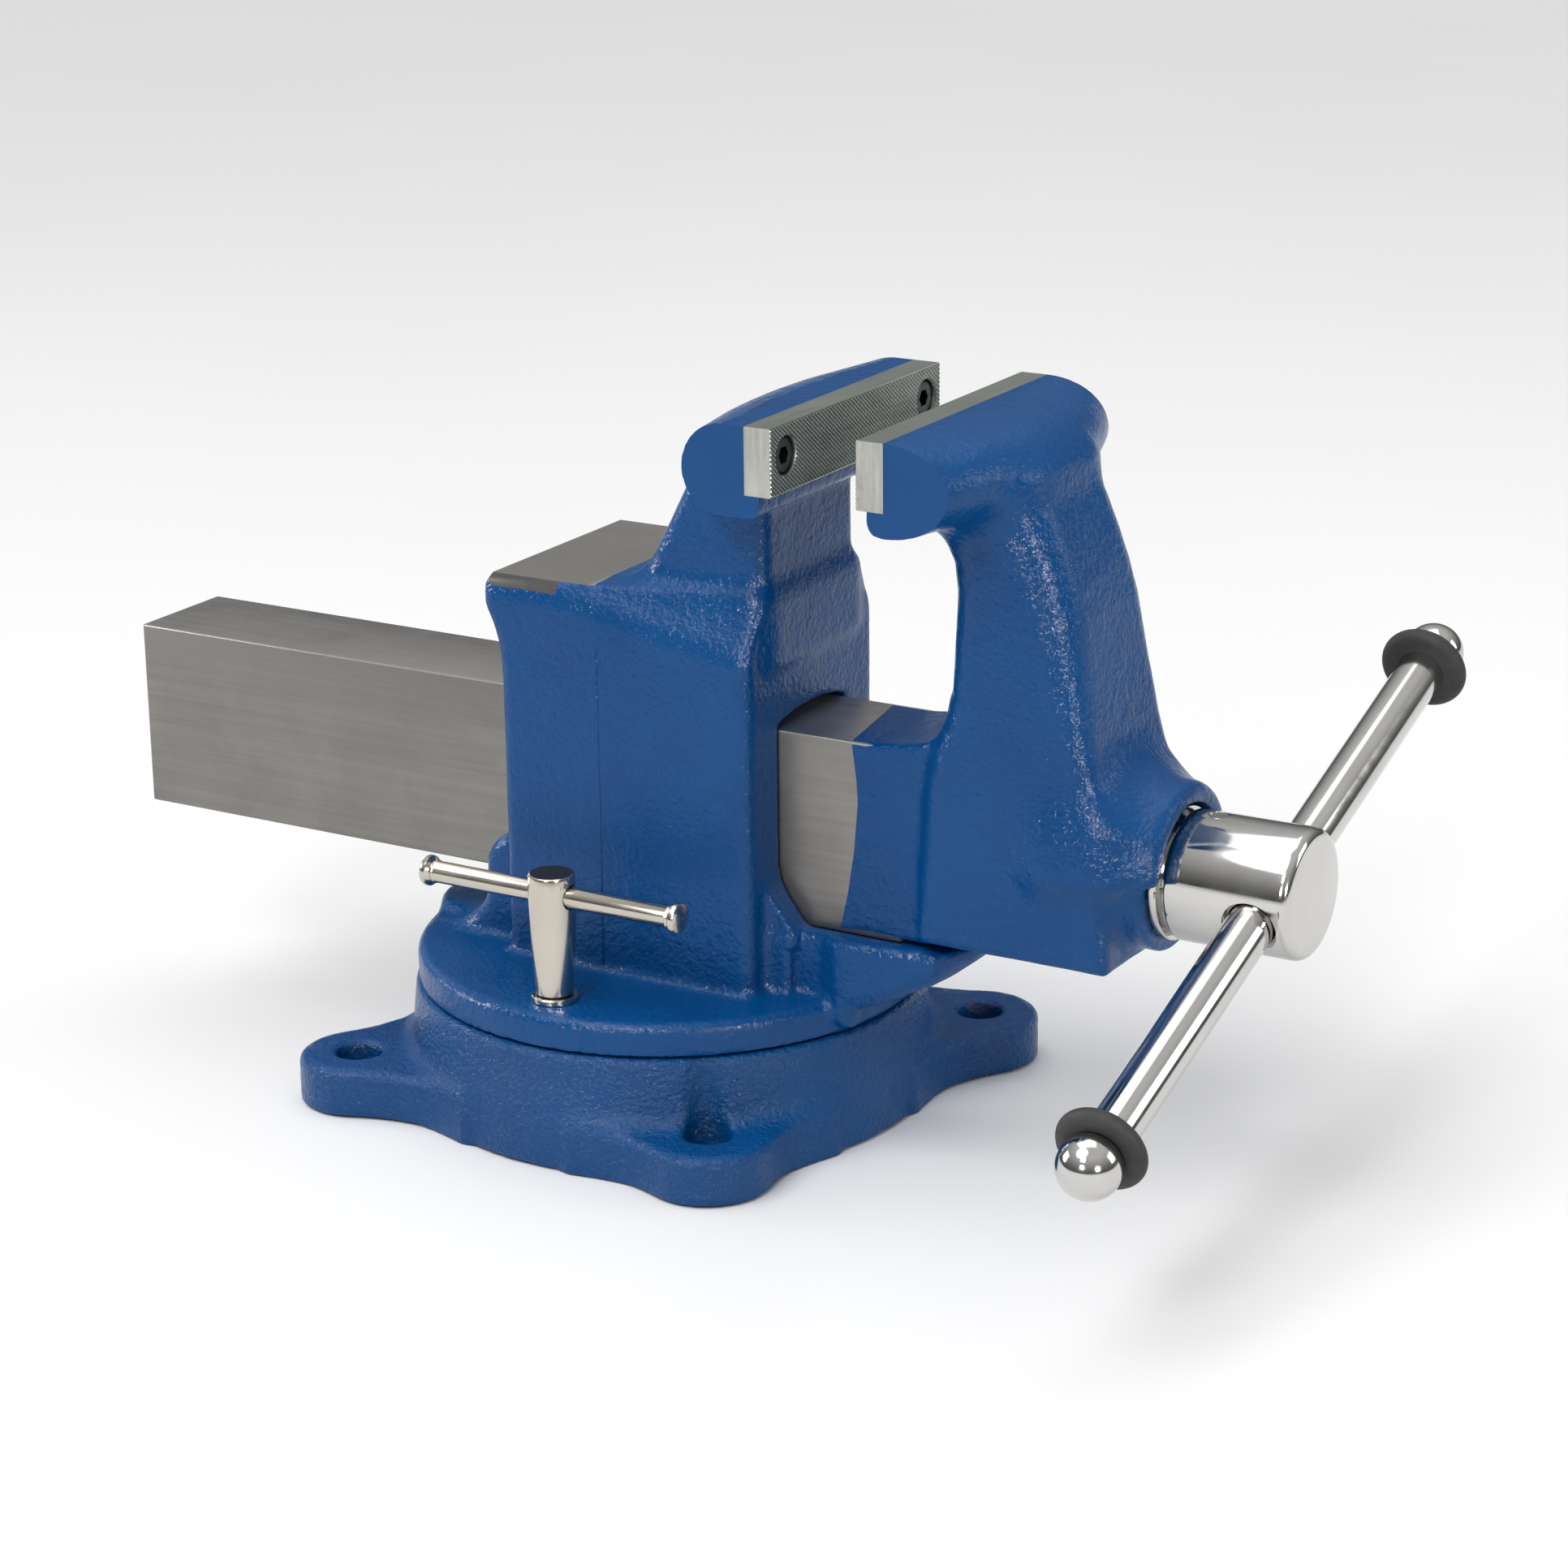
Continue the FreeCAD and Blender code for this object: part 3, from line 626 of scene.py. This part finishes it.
    # The chamfers take the near black steel: painted shade on faces turned away from the light
    mark_faces(casting, 2, is_chamfer)
    mark_faces(casting, 3, is_head_end)
    return finish_piece(shade(casting, 32), "static", "blue_paint",
                        PAINT, ANVIL_STEEL, PAINTED_SHADE_STEEL, FLAT_PAINT, replaces=["static_body"])


def is_chamfer(p, n):
    """The sloping faces along the rear and the two sides of the anvil."""
    on_slope = abs(n.x + 0.865) < 0.03 or abs(abs(n.y) - 0.84) < 0.03
    return CHAMFER_Z - 0.2 < p.z < ANVIL_Z + 0.1 and p.x < CHAMFER_FRONT + 0.1 and n.z > 0.3 and on_slope


def is_head_end(p, n):
    """The flat ends of a jaw head."""
    return abs(n.y) > 0.99 and abs(abs(p.y) - JAW_HALF) < 0.05


def make_body_details():
    """Pivot spigot under the flange, and the raised parting line down both sides of the column."""
    spigot = lathe("swivel_spigot", [(0, 34.6), (15.2, 34.6), (16.0, 35.4), (16.0, 47.5), (0, 47.5)])
    finish_piece(shade(spigot), "static", "blue_paint", TURNED)
    for name, side in (("near", -1), ("far", 1)):
        half = [(-0.9, 48.4), (-0.45, 49.3), (0.45, 49.3), (0.9, 48.4)]
        line = extrude("parting_line_" + name, [(a, side * b) for a, b in half], "xy", 61, 192)
        finish_piece(shade(soften(line, 0.15, 2)), "static", "blue_paint", PAINT)


# ---- Moving jaw: painted casting, and the ground beam it is cast in one with ----
def paint_edge(y, z):
    """How far back along the beam the paint reaches."""
    side = np.interp(z, [84, 86, 102, 118, 138, 147, 162], [91.4, 91.8, 95.4, 98, 99.8, 99.2, 97.2])
    return side - 9.2 * (y + BEAM_HALF) / (2 * BEAM_HALF)


def make_moving_jaw():
    """Painted arm, leg and head, with the hood and its recess for the thrust ring."""
    g = Grid((82, -66, 81), (236, 66.5, 290), 1.25)
    ay = np.abs(g.y)
    arm_side = [(84, 86.2), (128, 86.2), (140, 90.5), (170, 90.5), (170, 185), (141, 185)]
    arm_side += [(139.6, 178), (137.2, 172.4), (133.4, 168.2), (127, 165.0), (118, 163.2), (104, 161.7),
                 (84, 161.7)]
    arm = meet(polygon(g.x, g.z, arm_side), ay - 25, 1.6)
    leg_side = [(129, LEG_BOTTOM), (129, 120), (131, 150), (134, 165), (138.4, 176), (140.5, 186),
                (140.5, 226), (139, 236), (134, 245), (130, 252), (132, 268), (160, 276), (172, 270),
                (179, 255.5), (184, 243.5), (188, 232), (191, 220), (194.7, 196), (198.5, 174), (202, 160),
                (207, 150), (209.5, 144), (LEG_FRONT, 139), (LEG_FRONT, LEG_BOTTOM)]
    edge = 4.0 + 4.0 * smoothstep(g.z, 92, 125) + 9.0 * smoothstep(g.z, 150, 250)
    leg = meet(polygon(g.x, g.z, leg_side), ay - LEG_HALF, edge)
    leg = meet(leg, LEG_BOTTOM - g.z + 0 * g.x, 1.5)
    jaw = weld(arm, leg, 6.0)

    off = disc(g.y, g.z - SCREW_Z, 0)
    shelf = SCREW_Z + 3.2 - g.z
    hood = meet(meet(off - HOOD_R, slab(g.x, 180, HOOD_FRONT), 4.5), shelf, 2.0)
    jaw = weld(jaw, hood, 17.0)
    boss = meet(off - 30, slab(g.x, 180, THRUST_X), 2.0)
    jaw = weld(jaw, boss, 4.0)

    h, place = g.part((110, -70, 238), (200, 70, 291))
    crown = 13.0 * (1 - (h.y / JAW_HALF) ** 2) * np.clip((h.x - MOVING_SEAT) / 26, 0, 1)
    head_side = [(112, 262.6), (126.0, 262.6), (125.8, 258.4), (126.4, 255.6), (128.4, 253.4)]
    head_side += [(132.5 + 26 * math.sin(t), 269.9 - 17.4 * math.cos(t))
                  for t in (math.radians(7.5 * i) for i in range(0, 25))] + [(112, JAW_TOP + 0.8)]
    head = meet(polygon(h.x - crown, h.z, head_side), np.abs(h.y) - JAW_HALF - 1.5, 0.0)
    jaw[place] = weld(jaw[place], head, 11.0)
    recess = meet(off - RECESS_R, THRUST_X - g.x, 1.0)
    jaw = carve(jaw, recess, 1.2)
    casting = roughen(skin("moving_jaw_casting", jaw, g))

    for side in (-1, 1):
        low, high = sorted((side * JAW_HALF, side * 90))
        cut(casting, block("head_end", (100, low, 235), (240, high, 300)))
    cut(casting, block("seat", (100, -90, SEAT_Z), (MOVING_SEAT, 90, 300)))
    cut(casting, block("head_top", (100, -90, JAW_TOP), (240, 90, 300)))
    cut(casting, rod("screw_bore", 12.1, (0, 0, SCREW_Z), (1, 0, 0), 150, 240))
    hollow = [(-15.5, 70), (15.5, 70), (15.5, 135), (10, 140.5), (-10, 140.5), (-15.5, 135)]
    cut(casting, extrude("hollow", hollow, "yz", 60, 172))
    cut(casting, block("pocket", (168, -22.5, 70), (190, 22.5, 146.5)))
    cut(casting, paint_cutter())
    mark_faces(casting, 1, is_head_end)
    return finish_piece(shade(casting, 32), "moving", "blue_paint", PAINT, FLAT_PAINT,
                        replaces=["moving_jaw"])


def paint_cutter():
    """Block that removes the casting behind the curved edge of its paint."""
    ys, zs = np.linspace(-30, 30, 13), np.linspace(78, 168, 31)
    verts, faces = [], []
    for y in ys:
        for z in zs:
            verts.append((float(paint_edge(y, z)) * MM, y * MM, z * MM))
    count = len(verts)
    verts += [(60 * MM, v[1], v[2]) for v in verts]
    rows, cols = len(ys), len(zs)
    for i in range(rows - 1):
        for j in range(cols - 1):
            a, b, c, d = i * cols + j, (i + 1) * cols + j, (i + 1) * cols + j + 1, i * cols + j + 1
            faces += [(a, b, c, d), (d + count, c + count, b + count, a + count)]
    for i in range(rows - 1):
        for j in (0, cols - 1):
            a, b = i * cols + j, (i + 1) * cols + j
            faces.append((a, b, b + count, a + count))
    for j in range(cols - 1):
        for i in (0, rows - 1):
            a, b = i * cols + j, i * cols + j + 1
            faces.append((a, b, b + count, a + count))
    return closed_object("paint_edge", verts, faces)


def make_beam():
    """The ground, hollow beam behind the paint, open underneath."""
    half, low, high = BEAM_HALF - 0.15, BEAM_BOTTOM + 0.1, BEAM_TOP - 0.15
    section = [(-half, low), (-15.5, low), (-15.5, 135), (-10, 140.5), (10, 140.5), (15.5, 135),
               (15.5, low), (half, low), (half, high), (-half, high)]
    beam = extrude("slide_beam", section, "yz", BEAM_REAR, 118)
    beam = soften(beam, 0.8, 3)
    # The sides take the darker copy of the steel: painted shade, with painted light on the top
    mark_faces(beam, 1, lambda p, n: abs(n.y) > 0.3)
    return finish_piece(shade(beam), "moving", "zinc", BEAM_TOP_LIT_STEEL, BEAM_SIDE_SHADED_STEEL)


# ---- Jaw inserts: knurled faces, sawn ends and counterbored holes ----
def make_insert(name, face_x, into, body, node):
    """Grid of diamond points on the gripping face, closed by the plain sides of the insert."""
    thick, depth = 11.5, 0.62
    points_along, points_up, divisions = 58, 15, 6
    wide, tall = 2 * JAW_HALF / points_along, (JAW_TOP - SEAT_Z) / points_up
    ys = np.linspace(-JAW_HALF, JAW_HALF, points_along * divisions + 1)
    zs = np.linspace(SEAT_Z, JAW_TOP, points_up * divisions + 1)
    y, z = np.meshgrid(ys, zs, indexing="ij")
    along = (y + JAW_HALF) / wide + (z - SEAT_Z) / tall
    across = (y + JAW_HALF) / wide - (z - SEAT_Z) / tall
    groove = np.minimum(np.abs(along - np.round(along)), np.abs(across - np.round(across))) * 2
    height = np.clip(groove * 1.2, 0, 1) * depth
    from_edge = np.minimum(np.minimum(y + JAW_HALF, JAW_HALF - y), np.minimum(z - SEAT_Z, JAW_TOP - z))
    sunk = np.where(from_edge < 0.35, 0.7, depth - height)
    x = face_x + into * sunk
    rows, cols = x.shape
    verts = np.stack([x, y, z], -1).reshape(-1, 3)
    back = verts.copy()
    back[:, 0] = face_x + into * thick
    index = np.arange(rows * cols).reshape(rows, cols)
    quads = [tuple(q) for q in np.stack([index[:-1, :-1], index[1:, :-1], index[1:, 1:], index[:-1, 1:]],
                                        -1).reshape(-1, 4).tolist()]
    border = np.concatenate([index[:, 0], index[-1, 1:], index[-2::-1, -1], index[0, -2:0:-1]]).tolist()
    total = len(verts)
    ring = list(range(total, total + len(border)))
    verts = np.concatenate([verts, back[border]])
    for i in range(len(border)):
        j = (i + 1) % len(border)
        quads.append((border[j], border[i], ring[i], ring[j]))
    quads.append(tuple(ring))
    insert = closed_object(name, (verts * MM).tolist(), quads)
    for side in (-1, 1):
        at = (face_x, side * INSERT_HOLE_Y, INSERT_HOLE_Z)
        tool = lathe("counterbore", [(0, -2), (7.9, -2), (7.9, 0.0), (7.2, 0.9), (7.2, 8.0), (4.3, 8.0),
                                     (4.3, 14), (0, 14)], at, (into, 0, 0), 64)
        cut(insert, tool)
    # Faces down in the knurl's grooves take the darker zinc: painted shade
    mark_faces(insert, 2, lambda p, n: abs(p.y) < JAW_HALF - 0.5
               and 0.32 < (p.x - face_x) * into < 0.69)
    mark_faces(insert, 1, lambda p, n: abs(n.y) > 0.95 and abs(abs(p.y) - JAW_HALF) < 0.2)
    return finish_piece(shade(insert, 22), body, "zinc", ZINC, SAWN, GROOVE_SHADE_ZINC, replaces=[node])


def make_insert_screws(name, face_x, into, body, node):
    """Socket-head screws at the bottom of the counterbores."""
    parts = []
    for side in (-1, 1):
        at = (face_x, side * INSERT_HOLE_Y, INSERT_HOLE_Z)
        head = lathe(name, [(0, 1.5), (6.0, 1.5), (6.5, 2.0), (6.5, 8.0), (3.9, 8.1), (3.9, 28.0),
                            (3.4, 28.5), (0, 28.5)], at, (into, 0, 0), 48)
        socket = [(side * INSERT_HOLE_Y + 3.46 * math.cos(math.radians(60 * i)),
                   INSERT_HOLE_Z + 3.46 * math.sin(math.radians(60 * i))) for i in range(6)]
        low, high = sorted((face_x, face_x + into * 5.2))
        cut(head, extrude("socket", socket, "yz", low, high))
        parts.append(head)
    return finish_piece(shade(join_objects(parts), 30), body, "black_steel", BLACK_OXIDE, replaces=[node])


def join_objects(objects):
    """All the objects' meshes in the first one."""
    build = bmesh.new()
    for obj in objects:
        build.from_mesh(obj.data)
    first = objects[0]
    build.to_mesh(first.data)
    build.free()
    for obj in objects[1:]:
        discard(obj)
    return first


# ---- Main screw, its head and the parts round it ----
def make_screw_thread():
    """Trapezoidal thread, 24 mm over its crests with a 6 mm lead, wound as one helical strip."""
    lead, start, stop, segments = 6.0, -172.0, 168.0, 48
    profile = [(0.0, 9.2), (1.75, 9.2), (2.6, 12.0), (4.3, 12.0), (5.2, 9.2)]
    turns = int((stop - start) / lead)
    verts, faces = [], []
    steps = turns * segments
    for i in range(steps + 1):
        t = 2 * math.pi * i / segments
        for along, radius in profile:
            x = start + lead * i / segments + along
            verts.append((x * MM, radius * math.cos(t) * MM, (SCREW_Z + radius * math.sin(t)) * MM))
    width = len(profile)
    for i in range(steps):
        for j in range(width - 1):
            a = i * width + j
            faces.append((a, a + 1, a + width + 1, a + width))
        if i + segments <= steps:
            a, b = i * width + width - 1, (i + segments) * width
            faces.append((a, b, b + width, a + width) if i + segments + 1 <= steps else (a, b, a + width))
    return closed_object("main_screw_thread", verts, faces)


def make_spindle():
    """Screw, head, thrust ring, washer and collar on one axis, and the two pins across it."""
    thread = make_screw_thread()
    finish_piece(shade(thread, 35), "spindle", "steel", TURNED, replaces=["main_screw"])
    at = (0, 0, SCREW_Z)
    core = lathe("main_screw_core", [(0, -175), (8.2, -175), (9.3, -173.8), (9.3, 163), (12.0, 166),
                                     (12.0, 224.6), (11, 225), (11, 246), (0, 246)], at, (1, 0, 0), 96)
    finish_piece(shade(core), "spindle", "steel", TURNED)

    rounded = [(20.5 + 4 * math.cos(t), 270 + 4 * math.sin(t))
               for t in (math.radians(a) for a in (15, 30, 45, 60, 75))]
    head = lathe("spindle_head_turned",
                 [(0, 225), (23.2, 225), (24.1, 225.4), (24.5, 226.4), (24.5, 270.0)]
                 + rounded + [(20.2, 274), (0, 274)], at, (1, 0, 0), 192)
    cut(head, lathe("handle_hole", [(0, -40), (10.6, -40), (10.6, -23.2), (9.3, -22.0), (9.3, 22.0),
                                    (10.6, 23.2), (10.6, 40), (0, 40)],
                    (HANDLE_X, 0, SCREW_Z), HANDLE_DIR, 96))
    for side in (-1, 1):
        cut(head, lathe("pin_hole", [(0, 24.0), (4.05, 24.0), (4.3, 26), (0, 26)],
                        (HEAD_PIN_X, 0, SCREW_Z), (0, 0, side), 48))
    finish_piece(shade(head, 25), "spindle", "chrome", CHROME, replaces=["spindle_head"])

    pin = lathe("head_pin_turned", [(0, -24.15), (3.4, -24.15), (4.0, -23.6), (4.0, 23.6), (3.4, 24.15),
                                    (0, 24.15)], (HEAD_PIN_X, 0, SCREW_Z), (0, 0, 1), 48)
    finish_piece(shade(pin), "spindle", "steel", TURNED, replaces=["head_pin"])

    ring = lathe("thrust_ring_turned", [(12.2, 219.4), (24.6, 219.4), (25.2, 220.0), (25.2, 222.0),
                                        (24.8, 222.7), (21.6, 222.9), (21.0, 223.4), (21.0, 225.0),
                                        (12.2, 225.0)], at, (1, 0, 0), 128)
    finish_piece(shade(ring, 25), "spindle", "steel", CHROME, replaces=["thrust_ring"])
    washer = lathe("rear_washer_turned", [(12.2, 186.8), (20.4, 186.8), (21, 187.3), (21, 189.2),
                                          (20.4, 189.7), (12.2, 189.7)], at, (1, 0, 0), 96)
    finish_piece(shade(washer), "spindle", "steel", TURNED, replaces=["rear_washer"])
    collar = lathe("retaining_collar_turned", [(12.1, 174.6), (20.0, 174.6), (21, 175.6), (21, 185.4),
                                               (20.0, 186.4), (12.1, 186.4)], at, (1, 0, 0), 96)
    finish_piece(shade(collar), "spindle", "steel", TURNED, replaces=["retaining_collar"])
    pin = lathe("collar_pin_turned", [(0, -20.5), (2.5, -20.5), (3.0, -20.0), (3.0, 20.0), (2.5, 20.5),
                                      (0, 20.5)], (COLLAR_PIN_X, 0, SCREW_Z), (0, 0, 1), 32)
    finish_piece(shade(pin), "spindle", "steel", TURNED, replaces=["collar_pin"])


# ---- Handle ----
def make_handle():
    """Sliding bar, and at each end a ball on a spigot behind a moulded bumper."""
    centre = Vector((HANDLE_X, 0, SCREW_Z)) + HANDLE_DIR * BAR_SHIFT
    bar = lathe("handle_bar_turned", [(0, -158), (5, -158), (5, -150), (8.4, -150), (9, -149.4), (9, 149.4),
                                      (8.4, 150), (5, 150), (5, 158), (0, 158)], centre, HANDLE_DIR, 128)
    finish_piece(shade(bar), "handle", "chrome", CHROME, replaces=["handle_bar"])
    for name, side in (("lower", -1), ("upper", 1)):
        away = HANDLE_DIR * side
        profile = [(5.05, 150.0)]
        start = math.acos(-6.2 / 11.7)
        profile += [(11.7 * math.sin(t), 156.4 + 11.7 * math.cos(t))
                    for t in (start * (1 - i / 40) for i in range(41))]
        profile[-1] = (0.0, 168.1)
        profile = [(0.0, 158.4), (5.05, 158.4)] + profile
        ball = lathe("handle_ball_turned_" + name, profile, centre, away, 128)
        finish_piece(shade(ball), "handle", "chrome", CHROME, replaces=["handle_ball_" + name])
        outer = [(13.0 + 4.0 * math.cos(t), 146.6 + 3.3 * math.sin(t))
                 for t in (math.radians(-100 + 200 * i / 20) for i in range(21))]
        bumper = [(9.02, 143.4), (11.2, 143.3)] + outer + [(11.4, 149.6), (9.45, 149.4)]
        ring = lathe("handle_bumper_moulded_" + name, bumper, centre, away, 128)
        finish_piece(shade(ring, 50), "handle", "rubber", RUBBER, replaces=["handle_bumper_" + name])


# ---- Swivel clamps ----
def make_clamps():
    """Both swivel clamps: T-bolt, washer, tapered sleeve nut and its sliding bar."""
    for name, side in (("near", -1), ("far", 1)):
        y = side * LOCK_Y
        bolt = lathe("lock_bolt_shank_" + name, [(0, 33), (6, 33), (6, 58), (5, 58.6), (5, 91.2), (4.3, 92),
                                                 (0, 92)], (0, y, 0), (0, 0, 1), 48)
        tee = soften(block("lock_bolt_tee_" + name, (-13, y - 10.5, 25.7), (13, y + 10.5, 33.7)), 0.8, 2)
        finish_piece(shade(tee), "static", "steel", BLACK_OXIDE)
        finish_piece(shade(bolt), "static", "steel", TURNED, replaces=["lock_bolt_" + name])
        washer = lathe("lock_washer_turned_" + name, [(6.2, 60.5), (8.6, 60.5), (9.0, 60.9), (9.0, 62.6),
                                                      (8.6, 63.0), (6.2, 63.0)], (0, y, 0), (0, 0, 1), 64)
        finish_piece(shade(washer), "static", "steel", NICKEL, replaces=["lock_washer_" + name])
        sleeve = [(0, 95), (5.1, 95), (5.1, 63.4), (6.9, 63.4), (7.25, 63.8), (7.3, 66.5), (8.1, 77),
                  (8.6, 86), (8.85, 95), (9.0, 103), (9.0, 110.4), (8.75, 111.1), (8.2, 111.4), (0, 111.4)]
        nut = lathe("lock_nut_turned_" + name, sleeve, (0, y, 0), (0, 0, 1), 96)
        cut(nut, lathe("bar_hole", [(0, -20), (5.0, -20), (5.0, -8.4), (4.35, -7.6), (4.35, 7.6), (5.0, 8.4),
                                    (5.0, 20), (0, 20)], (0, y, LOCK_BAR_Z), (1, 0, 0), 64))
        # The flat top of the nut takes the near black steel: a painted dark reflection
        mark_faces(nut, 1, lambda p, n: n.z > 0.99 and p.z > 111)
        finish_piece(shade(nut, 25), name + "_nut", "nickel", NICKEL, PAINTED_SHADE_STEEL,
                     replaces=["lock_nut_" + name])
        end = [(57.5, 0), (57.5, 4.6), (57.1, 5.6), (56.2, 6.0), (54.9, 5.9), (54.2, 5.0), (53.4, 4.35),
               (52.6, 4.6), (51.9, 4.25)]
        profile = [(r, -a) for a, r in end] + [(r, a) for a, r in reversed(end)]
        bar = lathe("lock_bar_turned_" + name, profile, (0, y, LOCK_BAR_Z), (1, 0, 0), 64)
        finish_piece(shade(bar, 30), name + "_bar", "nickel", NICKEL, replaces=["lock_bar_" + name])


def dress_hidden_nodes():
    """The nut and its bolt keep their CAD shape, with softened edges."""
    for node, material in (("main_nut", BRONZE), ("nut_bolt", BLACK_OXIDE)):
        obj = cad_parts[node]
        obj.data.materials.clear()
        obj.data.materials.append(material)
        modifier = obj.modifiers.new("bevel", "BEVEL")
        modifier.width, modifier.segments, modifier.limit_method = 0.5 * MM, 2, "ANGLE"


# ---- Floor, light and camera ----
def make_floor():
    """Pale floor, just under the lugs."""
    half, z = 40, -0.0005
    mesh = bpy.data.meshes.new("studio_floor")
    corners = [(-half, -half, z), (half, -half, z), (half, half, z), (-half, half, z)]
    mesh.from_pydata(corners, [], [(0, 1, 2, 3)])
    floor = add_object("studio_floor", mesh)
    floor.data.materials.append(FLOOR)


def area_light(name, at, target, size, power):
    light = bpy.data.lights.new(name, "AREA")
    light.shape, light.size, light.size_y = "RECTANGLE", size[0], size[1]
    light.energy = power
    obj = add_object(name, light)
    obj.location = at
    obj.rotation_euler = (Vector(target) - Vector(at)).to_track_quat("-Z", "Y").to_euler()
    return obj


def make_studio():
    """Soft sky, bright overhead and dim at the horizon, a wide sun, soft boxes and three glints."""
    world = bpy.data.worlds.new("studio")
    world.use_nodes = True
    tree = world.node_tree
    direction = add_node(tree, "ShaderNodeTexCoord").outputs["Generated"]
    height = add_node(tree, "ShaderNodeSeparateXYZ", {"Vector": direction}).outputs["Z"]
    sky = ramp(tree, height, [(0.0, 0.09), (0.30, 0.32), (0.80, 0.95)])
    tree.links.new(sky, tree.nodes["Background"].inputs["Color"])
    tree.nodes["Background"].inputs["Strength"].default_value = 0.72
    bpy.context.scene.world = world
    sun = bpy.data.lights.new("sun", "SUN")
    sun.energy, sun.angle = 1.0, math.radians(35)
    add_object("sun", sun).rotation_euler = (math.radians(24), math.radians(-14), 0)
    centre = (0.02, 0, 0.14)
    area_light("key", (0.2, -1.6, 1.5), centre, (0.5, 0.5), 10)
    # Glints light only what reflects them, so they mark the fillets and leave the paint's tone alone
    for name, at in (("front", (0.3, -2.1, 0.8)), ("right", (1.8, -1.2, 0.6)), ("left", (-1.9, -0.8, 0.7))):
        glint = area_light("glint_" + name, at, centre, (0.36, 0.36), 20)
        glint.visible_diffuse = False
    area_light("fill_left", (-1.9, -0.6, 0.9), centre, (1.0, 0.8), 5)
    area_light("overhead", (-0.2, 0.3, 1.9), centre, (1.6, 1.2), 7)
    area_light("rim_right", (1.8, 0.9, 0.9), centre, (0.8, 0.8), 7)
    bpy.context.scene.view_settings.view_transform = "Standard"


def make_camera():
    """18 degrees above the bench and 31 degrees round from the near side, through a long lens."""
    azimuth, elevation, roll = (math.radians(v) for v in (30.711, 18.181, -0.658))
    forward = Vector((-math.sin(azimuth) * math.cos(elevation), math.cos(azimuth) * math.cos(elevation),
                      -math.sin(elevation)))
    right = Vector((math.cos(azimuth), math.sin(azimuth), 0))
    up = right.cross(forward)
    right, up = (math.cos(roll) * right + math.sin(roll) * up, math.cos(roll) * up - math.sin(roll) * right)
    data = bpy.data.cameras.new("camera")
    data.sensor_width, data.lens = 36.0, 92.44
    data.clip_start, data.clip_end = 0.05, 120
    camera = add_object("camera", data)
    place = Matrix((right, up, -forward)).transposed().to_4x4()
    place.translation = Vector((0.80495, -1.26591, 0.61444))
    camera.matrix_world = place
    bpy.context.scene.camera = camera


def main():
    make_base()
    make_static_body()
    make_body_details()
    make_moving_jaw()
    make_beam()
    make_insert("static_insert_knurled", 87.0, -1, "static", "static_jaw_insert")
    make_insert("moving_insert_knurled", 121.0, 1, "moving", "moving_jaw_insert")
    make_insert_screws("static_screws", 87.0, -1, "static", "static_jaw_screws")
    make_insert_screws("moving_screws", 121.0, 1, "moving", "moving_jaw_screws")
    make_spindle()
    make_handle()
    make_clamps()
    dress_hidden_nodes()
    make_floor()
    make_studio()
    make_camera()


main()
